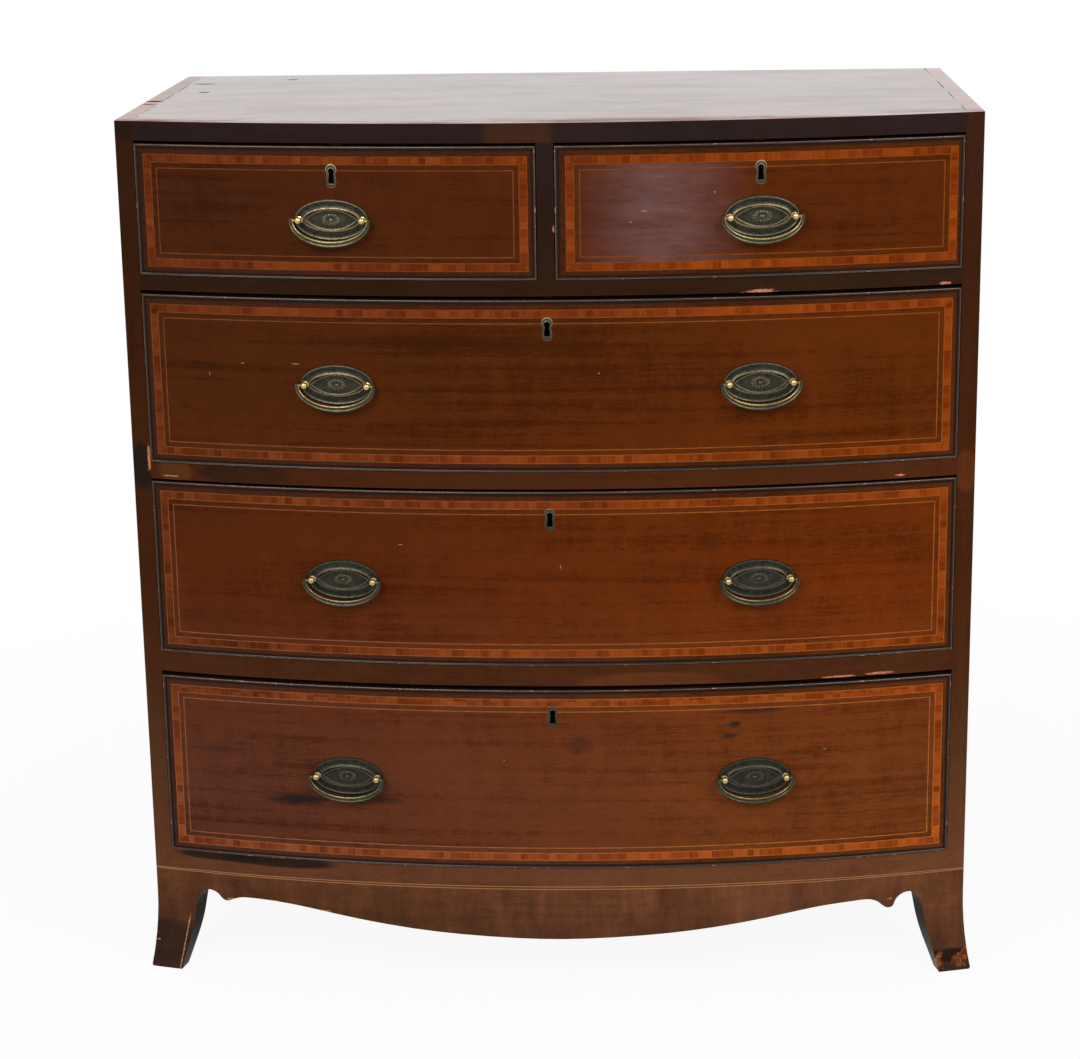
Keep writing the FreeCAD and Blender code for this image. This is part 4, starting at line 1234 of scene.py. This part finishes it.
# %% List the chips
# places and half sizes, in mm, of chips and of spots where the veneer is gone
case_chips = [
    ((247, -270, 873), (20, 12, 2.6)), ((466, -240, 873.5), (7, 12, 1.8)),
    ((417, -250, 644.5), (6, 12, 1.4)), ((347, -262, 396.8), (20, 12, 1.2)),
    ((397, -252, 398), (17, 12, 1.6)), ((-487.5, -232, 664), (1.9, 9, 17)),
    ((9.6, -293, 950), (1.6, 9, 4)), ((-462, -240, 645), (12, 9, 0.9)),
]
foot_chips = [
    ((-517, -226, 20), (1.6, 9, 7)), ((-509, -226, 35), (3.0, 9, 0.9)),
    ((-406, -246, 98.6), (9, 9, 1.6)), ((-360, -260, 101), (12, 9, 0.9)), ((-290, -268, 92.5), (10, 9, 1.0)),
    ((415, -246, 101), (3, 9, 1.0)),
]
print("chips on the case:", len(case_chips) + len(foot_chips))


# %% Tell the faces of the case apart
def faces_front(tree):
    """1 on faces that look forward, 0 on the sides, the back and the edges."""
    return fade(tree, split(tree, face_normal(tree))[1], -0.62, -0.5, 1.0, 0.0)


def faces_inward(tree, at):
    """1 on the cut faces of the feet that look towards the middle, which are painted nearly black."""
    x, _, z = split(tree, at)
    normal = face_normal(tree)
    towards = calc(tree, "MULTIPLY", x, split(tree, normal)[0])
    low = fade(tree, z, 0.098, 0.102, 1.0, 0.0)
    return calc(tree, "MULTIPLY", fade(tree, towards, -0.2, -0.12, 1.0, 0.0), low)


def upright(tree, at):
    """Coordinates with the first one upwards, for upright grain."""
    x, y, z = split(tree, at)
    return join(tree, z, x, y)


# %% Draw the double string and the bare edge
def strings(tree, at):
    """Two thin lines along the foot of the case. They draw together towards the corners."""
    x, _, z = split(tree, at)
    bow = calc(tree, "MULTIPLY", calc(tree, "MULTIPLY", x, x), 1.0 / half_width ** 2)
    both = None
    for middle, drop in ((134.6, 1.5), (131.3, -0.1)):
        line = calc(tree, "MULTIPLY_ADD", bow, -drop * MM, middle * MM)
        mark = near(tree, z, line, 0.3 * MM, 0.55 * MM)
        both = mark if both is None else calc(tree, "MAXIMUM", both, mark)
    return both


def inner_edge(tree, at):
    """The bare inner edge of the left foot, where the veneer has worn away."""
    x, _, z = split(tree, at)
    splay, edge_at_floor = 0.22, -481.2 * MM
    edge = calc(tree, "MULTIPLY_ADD", z, splay, edge_at_floor)
    off = calc(tree, "ABSOLUTE", calc(tree, "SUBTRACT", x, edge))
    ragged = calc(tree, "MULTIPLY_ADD", noise(tree, at, 240.0, 3.0, 0.6), 2.6 * MM, off)
    line = fade(tree, ragged, 1.6 * MM, 2.4 * MM, 1.0, 0.0)
    return calc(tree, "MULTIPLY", line, fade(tree, z, 0.062, 0.078, 1.0, 0.0))


# %% Mix the wood of the case
# height in metres and swatch: the front of the case is nearly black at the top and warmer low down
side_tones = [
    (0.05, shade(80, 47, 31)), (0.10, shade(94, 56, 35)), (0.14, shade(98, 59, 37)),
    (0.20, shade(89, 52, 32)), (0.27, shade(80, 48, 29)), (0.38, shade(71, 38, 18)),
    (0.50, shade(63, 29, 10)), (0.72, shade(60, 28, 9)), (0.92, shade(51, 24, 10)),
    (1.00, shade(51, 25, 13)),
]
rail_tones = [
    (0.147, shade(99, 59, 37)), (0.40, shade(69, 36, 17)), (0.645, shade(68, 33, 13)),
    (0.88, shade(41, 23, 13)), (0.96, shade(35, 20, 15)), (1.06, shade(34, 24, 24)),
]


def case_wood(
    name, tones, board, chips=(), lying=True, stringing=False, patches=(), bare=(), worn_edge=False,
    mottle=0.0
):
    """Facing in front, board elsewhere. patches are dark or light lengths of the facing."""
    material, tree, shader = blank(name)
    at = object_place(tree)
    front = faces_front(tree)
    grain_at = at if lying else upright(tree, at)
    pattern, pores = grain(tree, grain_at, *calm)
    x, _, z = split(tree, at)
    tone = by_height(tree, z, *tones)
    tone = times(tree, tone, fade(tree, x, -0.48, 0.48, 0.88, 1.14))
    for centre, size, swatch, strength in patches:
        tone = paint(tree, tone, spot(tree, at, centre, size, 0.06), swatch, strength)
    board_colour, _ = grain(tree, grain_at, *board)
    colour = mix(tree, front, board_colour, times(tree, tone, pattern))
    curl = streaked(tree, at, (34.0, 34.0, 10.0), 4.0, 0.65, 0.4)
    colour = handled(tree, at, times(tree, colour, sway(tree, 1.0, mottle, curl)))
    colour = paint(tree, colour, faces_inward(tree, at), shade(28, 21, 19))
    if stringing:
        colour = paint(tree, colour, strings(tree, at), shade(166, 114, 78), front)
    pale = ramp(tree, noise(tree, at, 400.0), (0.3, shade(140, 72, 34)), (0.7, shade(200, 138, 98)))
    for centre, size in chips:
        colour = paint(tree, colour, spot(tree, at, centre, size, 0.4), pale)
    if worn_edge:
        colour = paint(tree, colour, inner_edge(tree, at), pale, front)
    rust = noise(tree, at, 150.0, 4.0, 0.7)
    rusty = ramp(tree, rust, (0.4, shade(60, 34, 20)), (0.6, shade(150, 82, 38)))
    for centre, size in bare:
        colour = paint(tree, colour, spot(tree, at, centre, size, 0.8), rusty)
    gloss = uneven(tree, noise(tree, at, 16.0, 3.0, 0.6), 0.28, 0.44)
    swell = noise(tree, at, 6.0, 2.0, 0.4)
    height = calc(tree, "MULTIPLY_ADD", pores, -0.4, swell)
    close(tree, shader, colour, gloss, height, 0.045, **shellac)
    return material


# %% Paint the parts of the case
side_board = (shade(40, 18, 10), shade(70, 34, 19), shade(98, 52, 30))
black_polish = shade(26, 19, 17)

finishes["stile"] = case_wood(
    "mahogany_side", side_tones, side_board, case_chips, lying=False, stringing=True,
    patches=(
        ((-497, -230, 655), (15, 30, 30), shade(27, 20, 17), 0.95),
        ((497, -230, 645), (14, 30, 26), shade(90, 45, 17), 0.8),
        ((-497, -230, 1062), (15, 30, 15), shade(30, 21, 18), 0.85),
    ),
)
finishes["rail"] = case_wood(
    "mahogany_rail", rail_tones, side_board, case_chips, stringing=True,
    patches=(
        ((-455, -240, 652), (22, 40, 14), shade(86, 46, 22), 0.7),
        ((-372, -260, 652), (60, 40, 14), shade(42, 24, 14), 0.8),
        ((-425, -270, 155.5), (70, 60, 7), black_polish, 0.9),
        ((-350, -270, 154.5), (78, 60, 8), black_polish, 0.9),
        ((120, -280, 398), (90, 60, 14), shade(98, 52, 24), 0.6),
    ),
)
finishes["apron"] = case_wood(
    "mahogany_apron", side_tones, side_board, foot_chips, stringing=True, mottle=1.7
)
finishes["foot"] = case_wood(
    "mahogany_foot", side_tones, side_board, foot_chips, stringing=True, mottle=1.3,
    patches=(
        ((-500, -230, 20), (80, 60, 42), shade(48, 35, 29), 0.85),
        ((494, -230, 6), (50, 60, 8), shade(52, 40, 33), 0.8),
        ((494, -230, 20), (50, 60, 8.5), shade(28, 22, 22), 0.9),
    ),
    bare=(
        ((478, -236, 14), (4.5, 12, 12)), ((503, -230, 12), (8, 12, 9)), ((511, -228, 20), (6, 12, 8)),
        ((516, -228, 27), (3, 12, 8)),
    ),
    worn_edge=True,
)
print("case painted with", len(side_tones), "tones on the sides and", len(rail_tones), "on the rails")

# %% [markdown]
# ## The top
# The top is veneered, with a narrow cross grained border at both ends and along the front. It has the
# best polish of the whole chest, so it mirrors the light behind it. Two cracks cross the left border,
# and there are fine scratches.


# %% Top recipe
# middles and half sizes, in mm, of the cracks and dents in the top
top_marks = [
    ((-497, -18, 1072), (11.5, 6.5, 4)), ((-498, -50, 1072), (10, 4.0, 4)),
    ((-468, 190, 1072), (15, 4, 4)), ((-452, 84, 1072), (8, 4, 4)),
    ((60, -298, 1072), (10, 6, 4)), ((-358, 235, 1072), (8, 4, 4)),
]
border_wide = 20.0


def make_top():
    material, tree, shader = blank("mahogany_top")
    at = object_place(tree)
    x, y, _ = split(tree, at)
    colour, pores = grain(tree, at, shade(52, 24, 14), shade(92, 48, 28), shade(124, 72, 46))
    border_colour, _ = grain(tree, at, shade(96, 52, 38), shade(136, 84, 66), shade(160, 108, 88))
    from_end = calc(tree, "SUBTRACT", half_width, calc(tree, "ABSOLUTE", x))
    back = calc(tree, "SUBTRACT", y, bow_centre_y)
    reach = calc(tree, "MULTIPLY_ADD", back, back, calc(tree, "MULTIPLY", x, x))
    from_front = calc(tree, "SUBTRACT", bow_radius, calc(tree, "SQRT", reach))
    nearest = calc(tree, "MINIMUM", from_end, from_front)
    border = fade(tree, nearest, (border_wide - 0.4) * MM, (border_wide + 0.4) * MM, 1.0, 0.0)
    colour = paint(tree, colour, border, border_colour)
    line = near(tree, nearest, (border_wide + 0.4) * MM, 0.3 * MM, 0.8 * MM)
    broken = fade(tree, noise(tree, at, 18.0, 3.0, 0.6), 0.40, 0.60)
    dark_line = calc(tree, "MULTIPLY", line, broken)
    colour = paint(tree, colour, dark_line, shade(26, 16, 12))
    hollow = calc(tree, "MULTIPLY", pores, 0.06)
    marks = dark_line
    for centre, size in top_marks:
        mark = spot(tree, at, centre, size, 0.45)
        marks = calc(tree, "MAXIMUM", marks, mark)
        colour = paint(tree, colour, mark, shade(34, 14, 6))
        hollow = calc(tree, "MULTIPLY_ADD", mark, 0.8, hollow)
    scratches = noise(tree, stretch(tree, at, (14.0, 420.0, 1.0), turn=(0.0, 0.0, 0.35)), 1.0, 2.0, 0.5)
    scratches = fade(tree, scratches, 0.70, 0.76)
    colour = paint(tree, colour, scratches, shade(190, 150, 120), 0.3)
    colour = handled(tree, at, colour)
    gloss = uneven(tree, noise(tree, at, 7.0, 4.0, 0.6), 0.10, 0.20)
    swell = noise(tree, at, 8.0, 2.0, 0.4)
    height = calc(tree, "SUBTRACT", swell, hollow)
    # the polish is thick on the field, thin on the borders, and gone in the cracks and on the edges
    level = fade(tree, split(tree, face_normal(tree))[2], 0.4, 0.6)
    colour = mix(tree, level, shade(42, 30, 27), colour)
    polish = calc(tree, "MULTIPLY_ADD", border, fade(tree, x, -0.4, 0.45, -0.24, -0.08), 1.0)
    grime = fade(tree, streaked(tree, at, (5.0, 14.0, 1.0), 5.0, 0.65), 0.4, 0.68)
    rubbed_edge = fade(tree, from_front, 3.0 * MM, 60.0 * MM, 0.75, 0.12)
    polish = calc(tree, "SUBTRACT", polish, calc(tree, "MULTIPLY", grime, rubbed_edge))
    polish = calc(tree, "MULTIPLY", polish, calc(tree, "SUBTRACT", level, marks))
    feed(tree, polish, shader.inputs["Coat Weight"])
    close(
        tree, shader, colour, gloss, height, 0.18, specular_ior_level=0.0,
        coat_roughness=0.08, coat_ior=1.5,
    )
    return material


finishes["top"] = make_top()
finishes["top_edge"] = case_wood(
    "mahogany_top_edge", rail_tones, side_board, patches=(
        ((-30, -290, 1060), (40, 60, 40), shade(60, 34, 22), 0.75),
        ((498, -235, 1060), (11.5, 60, 60), shade(68, 36, 18), 0.9),
        ((-498, -235, 1060), (11.5, 60, 60), shade(36, 20, 13), 0.9),
    ),
)
print("marks on the top:", len(top_marks))


# %% [markdown]
# ## Unpolished woods, iron and lock brass
# Inside, the drawers are oak and the hidden boards are pine, both bare and grey brown with age. They
# show where a drawer stands open. The locks are dull brass, with a bolt that shines where it slides.


# %% Bare wood and lock
back_low, back_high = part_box("back_boards")
plank_count = 4
plank_wide = (back_high.x - back_low.x) / plank_count


def planks(tree, at, colour):
    """The planks of the back differ in tone, and the joints between them are dark with dust."""
    number = calc(tree, "DIVIDE", calc(tree, "SUBTRACT", split(tree, at)[0], back_low.x), plank_wide)
    own = add(tree, "ShaderNodeTexWhiteNoise", noise_dimensions="1D", W=calc(tree, "FLOOR", number))
    colour = times(tree, colour, fade(tree, own.outputs["Value"], 0.0, 1.0, 0.78, 1.16))
    beside = calc(tree, "SUBTRACT", number, calc(tree, "ROUND", number))
    off = calc(tree, "MULTIPLY", calc(tree, "ABSOLUTE", beside), plank_wide)
    joint = fade(tree, off, 0.9 * MM, 2.4 * MM, 0.9, 0.0)
    return paint(tree, colour, joint, shade(24, 18, 14))


def keyhole_shade(tree, at, colour):
    """Paints shade round each keyhole, inside the front and the lock: a black spot where the deep hole lies
    in shade.
    """
    for drawer in drawers.values():
        along, z = drawer["key"]
        hole = on_bow(along, z) @ Vector((0.0, 14.0 * MM, 0.0))
        mark = spot(tree, at, [c / MM for c in hole], (8, 20, 14), 0.1)
        colour = paint(tree, colour, mark, shade(14, 11, 9))
    return colour


def bare_wood(name, dark, middle, light, turn="lying", streak=55.0, marks=None):
    material, tree, shader = blank(name)
    at = object_place(tree)
    if turn == "upright":
        at = upright(tree, at)
    elif turn == "deep":
        # the sides of a drawer run from front to back, and its back runs across
        x, y, z = split(tree, at)
        across = calc(tree, "ABSOLUTE", split(tree, face_normal(tree))[1])
        at = mix(tree, calc(tree, "GREATER_THAN", across, 0.7), join(tree, y, z, x), at)
    colour, pores = grain(tree, at, shade(*dark), shade(*middle), shade(*light), streak, 0.2)
    dust = noise(tree, at, 6.0, 4.0, 0.6)
    colour = paint(tree, colour, fade(tree, dust, 0.4, 0.75, 0.0, 0.35), shade(96, 80, 62))
    if marks:
        colour = marks(tree, object_place(tree), colour)
    gloss = uneven(tree, dust, 0.62, 0.8)
    close(tree, shader, colour, gloss, pores, 0.08, specular_ior_level=0.3)
    return material


def make_lock_metal(name, dark, light, gloss):
    material, tree, shader = blank(name)
    at = object_place(tree)
    filed = streaked(tree, at, (40.0, 900.0, 900.0), 3.0)
    cloud = noise(tree, at, 90.0, 4.0, 0.6)
    colour = keyhole_shade(tree, at, ramp(tree, cloud, (0.35, dark), (0.65, light)))
    close(tree, shader, colour, uneven(tree, cloud, gloss, gloss + 0.15), filed, 0.03, metallic=1.0)
    return material


# finish, name, dark, middle and light swatch, how the grain lies, streaks to a metre, marks
for finish, *recipe in (
    ("drawer_oak", "drawer_oak", (96, 70, 44), (138, 104, 68), (168, 132, 92), "deep"),
    ("drawer_bottom", "bottom_oak", (104, 78, 50), (146, 112, 76), (176, 140, 100)),
    ("pine", "pine_board", (104, 74, 44), (150, 112, 70), (180, 142, 96), "lying", 36.0),
    ("back_pine", "pine_back", (82, 60, 40), (120, 92, 62), (150, 120, 84), "upright", 36.0, planks),
    ("front_core", "front_core", (50, 26, 14), (80, 44, 26), (108, 64, 40), "lying", 55.0, keyhole_shade),
):
    finishes[finish] = bare_wood(*recipe)
finishes["lock"] = make_lock_metal("lock_brass", shade(104, 82, 44), shade(150, 124, 70), 0.38)
finishes["bolt"] = make_lock_metal("bolt_brass", shade(150, 124, 72), shade(190, 164, 104), 0.25)
print("finishes so far:", ", ".join(finishes))


# %% Dress the boards
def dress(node, finish):
    for slot in frame["nodes"][node].material_slots:
        slot.material = finishes[finish]


dressed = {
    "left_side": "stile", "right_side": "stile", "top_board": "top_edge", "top_veneer": "top",
    "front_rails": "rail", "muntin": "rail", "dustboards": "pine", "back_boards": "back_pine",
    "drawer_guides": "pine", "aprons": "apron", "feet": "foot", "glue_blocks": "pine",
}
for name in drawers:
    dressed[name + "_front"] = "front_core"
    dressed[name + "_linings"] = "drawer_oak"
    dressed[name + "_bottom"] = "drawer_bottom"
    dressed[name + "_lock"] = "lock"
    dressed[name + "_bolt"] = "bolt"
    dressed[name + "_posts"] = "ball"
for node, finish in dressed.items():
    dress(node, finish)
print("boards dressed:", len(dressed))

# %% [markdown]
# ## Nails and screws
# Small iron fasteners repeat, so Geometry Nodes place them. The back boards are nailed to the rebates
# and to the dustboards, and each drawer bottom is nailed to the back of its drawer. The points to
# nail at are drawn first, as a mesh with no faces, and the tree sets a head on each.


# %% The tree that sets heads
def heads_tree():
    tree, entry, leave = start_tree("heads on points", head_radius=0.003, head_thick=0.001, seed=1)
    radius = entry.outputs["head radius"]
    head = add(
        tree, "GeometryNodeMeshCone", Vertices=10, Radius_Top=calc(tree, "MULTIPLY", radius, 0.7),
        Radius_Bottom=radius, Depth=entry.outputs["head thick"],
    )
    normal = add(
        tree, "GeometryNodeInputNamedAttribute", data_type="FLOAT_VECTOR", Name="outwards"
    ).outputs["Attribute"]
    turned = add(tree, "FunctionNodeAlignRotationToVector", axis="Z", Vector=normal)
    size = add(
        tree, "FunctionNodeRandomValue", Min=0.85, Max=1.15, Seed=entry.outputs["seed"]
    ).outputs[1]
    heads = add(
        tree, "GeometryNodeInstanceOnPoints", Points=entry.outputs["Geometry"],
        Instance=head.outputs["Mesh"], Rotation=turned.outputs[0], Scale=join(tree, size, size, 1.0),
    )
    return end_tree(tree, entry, leave, heads.outputs[0])


heads_on_points = heads_tree()


def make_iron():
    material, tree, shader = blank("nail_iron")
    at = object_place(tree)
    rust = noise(tree, at, 300.0, 4.0, 0.6)
    colour = ramp(tree, rust, (0.35, shade(30, 22, 18)), (0.7, shade(78, 46, 30)))
    close(tree, shader, colour, uneven(tree, rust, 0.5, 0.75), rust, 0.1, metallic=0.6)
    return material


finishes["iron"] = make_iron()
nail_thick = 0.9
print("the tree that sets heads has", len(heads_on_points.nodes), "nodes")


# %% Nail the back
def fasten(name, points, outwards, body, finish="iron", radius=2.6, thick=nail_thick):
    mesh = bpy.data.meshes.new(name)
    mesh.from_pydata([tuple(point) for point in points], [], [])
    mesh.attributes.new("outwards", "FLOAT_VECTOR", "POINT")
    for item in mesh.attributes["outwards"].data:
        item.vector = outwards
    piece = run_tree(
        new_piece(name, mesh), heads_on_points, finishes[finish],
        head_radius=radius * MM, head_thick=thick * MM, seed=7,
    )
    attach(piece, body)
    return piece


# the heads at the back are driven in until they are flush with the boards
flush = back_high.y - (nail_thick - 0.04) * MM
nail_rows = (back_low.z + 0.03, 0.154, 0.416, 0.656, 0.885, back_high.z - 0.012)
nail_points = []
plank_edges = [back_low.x + plank_wide * i for i in range(plank_count + 1)]
for left, right in zip(plank_edges, plank_edges[1:]):
    for height in nail_rows:
        for x in (left + 0.03, (left + right) / 2 + 0.01, right - 0.04):
            nail_points.append((x, flush, height))
fasten("back_nails", nail_points, (0, 1, 0), "carcase")
print("nails in the back:", len(nail_points))

# %% [markdown]
# ## Screws of the locks
# Each lock is held to the inside of the drawer front by four screws through its case. Their heads
# show when the drawer is open.

# %% Set the screws
# how far the screws lie from the middle of the lock, behind the bow, and below the drawer's top edge
screw_aside, screw_deep = 23.0 * MM, 23.2 * MM
screw_drops = (8.0 * MM, 41.0 * MM)
nail_gap = 5.0 * MM

for name, drawer in drawers.items():
    along, z = drawer["key"]
    place = on_bow(along, 0.0)
    heads = [
        place @ Vector((side * screw_aside, screw_deep, drawer["top"] - drop))
        for side in (-1, 1) for drop in screw_drops
    ]
    outwards = place.to_3x3() @ Vector((0, 1, 0))
    fasten(name + "_lock_screws", heads, outwards, name + "_drawer", "bolt", 2.4, 0.8)
    low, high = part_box(name + "_bottom")
    count = 4 if name.startswith("short") else 7
    tacks = [
        (low.x + (high.x - low.x) * (i + 0.5) / count, high.y - nail_gap, low.z) for i in range(count)
    ]
    fasten(name + "_bottom_nails", tacks, (0, 0, -1), name + "_drawer")
print("locks screwed on")

# %% [markdown]
# ## The studio
# A plain pale floor and three soft lamps: the strongest high on the left, a weaker one high on the
# right, where the top of the chest doesn't mirror it, and a faint one above. Floor and world are white
# where the camera, a mirror or a glass sees them, and the floor keeps a part of the shadow near the
# chest.


# %% Floor and world
def seen_directly(tree):
    """1 where the camera, a mirror or a glass sees a surface, 0 where it only lends its light."""
    path = tree.nodes.new("ShaderNodeLightPath")
    seen = calc(tree, "MAXIMUM", path.outputs["Is Camera Ray"], path.outputs["Is Transmission Ray"])
    return calc(tree, "MAXIMUM", seen, path.outputs["Is Glossy Ray"])


def make_floor():
    reach = 12.0
    corners = [(-reach, -reach, 0), (reach, -reach, 0), (reach, reach, 0), (-reach, reach, 0)]
    mesh = bpy.data.meshes.new("floor")
    mesh.from_pydata(corners, [], [(0, 1, 2, 3)])
    floor = new_piece("floor", mesh)
    material = bpy.data.materials.new("floor_paint")
    tree = emptied(material)
    matt = add(tree, "ShaderNodeBsdfDiffuse", Color=(0.86, 0.86, 0.86, 1.0))
    glow = add(tree, "ShaderNodeEmission")
    away = add(tree, "ShaderNodeVectorMath", object_place(tree), operation="LENGTH").outputs["Value"]
    white = fade(tree, away, 0.7, 1.8, 0.93, 1.0)
    share = calc(tree, "MULTIPLY", seen_directly(tree), white)
    blend = add(tree, "ShaderNodeMixShader", share, matt.outputs[0], glow.outputs[0])
    add(tree, "ShaderNodeOutputMaterial", Surface=blend.outputs[0])
    mesh.materials.append(material)
    return floor


def make_world():
    world = bpy.data.worlds.new("studio")
    bpy.context.scene.world = world
    tree = emptied(world)
    strength = fade(tree, seen_directly(tree), 0.0, 1.0, 0.3, 1.0)
    sky = add(tree, "ShaderNodeBackground", Color=(1.0, 1.0, 1.0, 1.0), Strength=strength)
    add(tree, "ShaderNodeOutputWorld", Surface=sky.outputs[0])


def soft_lamp(name, place, target, size, power):
    """A rectangular lamp that looks at its target. Power is in watts."""
    data = bpy.data.lights.new(name, "AREA")
    data.shape = "RECTANGLE"
    data.size, data.size_y = size
    data.energy = power
    lamp = bpy.data.objects.new(name, data)
    bpy.context.collection.objects.link(lamp)
    lamp.location = place
    lamp.rotation_euler = (Vector(target) - Vector(place)).to_track_quat("-Z", "Y").to_euler()


make_floor()
make_world()
soft_lamp("key", (-1.5, -3.0, 3.0), (0, 0, 0.6), (2.0, 1.6), 85)
soft_lamp("fill", (2.4, -2.5, 3.0), (0, 0, 0.5), (1.8, 1.8), 70)
soft_lamp("top", (0.0, 0.4, 3.4), (0, 0, 1.0), (2.6, 1.6), 25)
print("lamps:", len(bpy.data.lights))

# %% [markdown]
# ## The camera
# The camera stands a little right of the middle, above the top of the chest, and looks down on it
# through a long lens, so that the sides stay hidden and the top shows as a narrow plane.

# %% Place the camera
camera_place = Vector((0.13164, -3.34091, 1.42346))
yaw = math.radians(-2.6941)
pitch = math.radians(15.2512)
roll = math.radians(-0.9095)

ahead = Vector((math.sin(yaw) * math.cos(pitch), math.cos(yaw) * math.cos(pitch), -math.sin(pitch)))
level_right = Vector((math.cos(yaw), -math.sin(yaw), 0.0))
level_up = level_right.cross(ahead)
right = level_right * math.cos(roll) + level_up * math.sin(roll)
up = level_up * math.cos(roll) - level_right * math.sin(roll)

camera_data = bpy.data.cameras.new("camera")
camera_data.sensor_width = 36.0
camera_data.sensor_fit = "HORIZONTAL"
camera_data.lens = 88.765
camera = bpy.data.objects.new("camera", camera_data)
bpy.context.collection.objects.link(camera)
turn = Matrix((right, up, -ahead)).transposed().to_4x4()
camera.matrix_world = Matrix.Translation(camera_place) @ turn
bpy.context.scene.camera = camera
bpy.context.scene.view_settings.view_transform = "Standard"
print("camera at", tuple(round(c, 3) for c in camera_place))
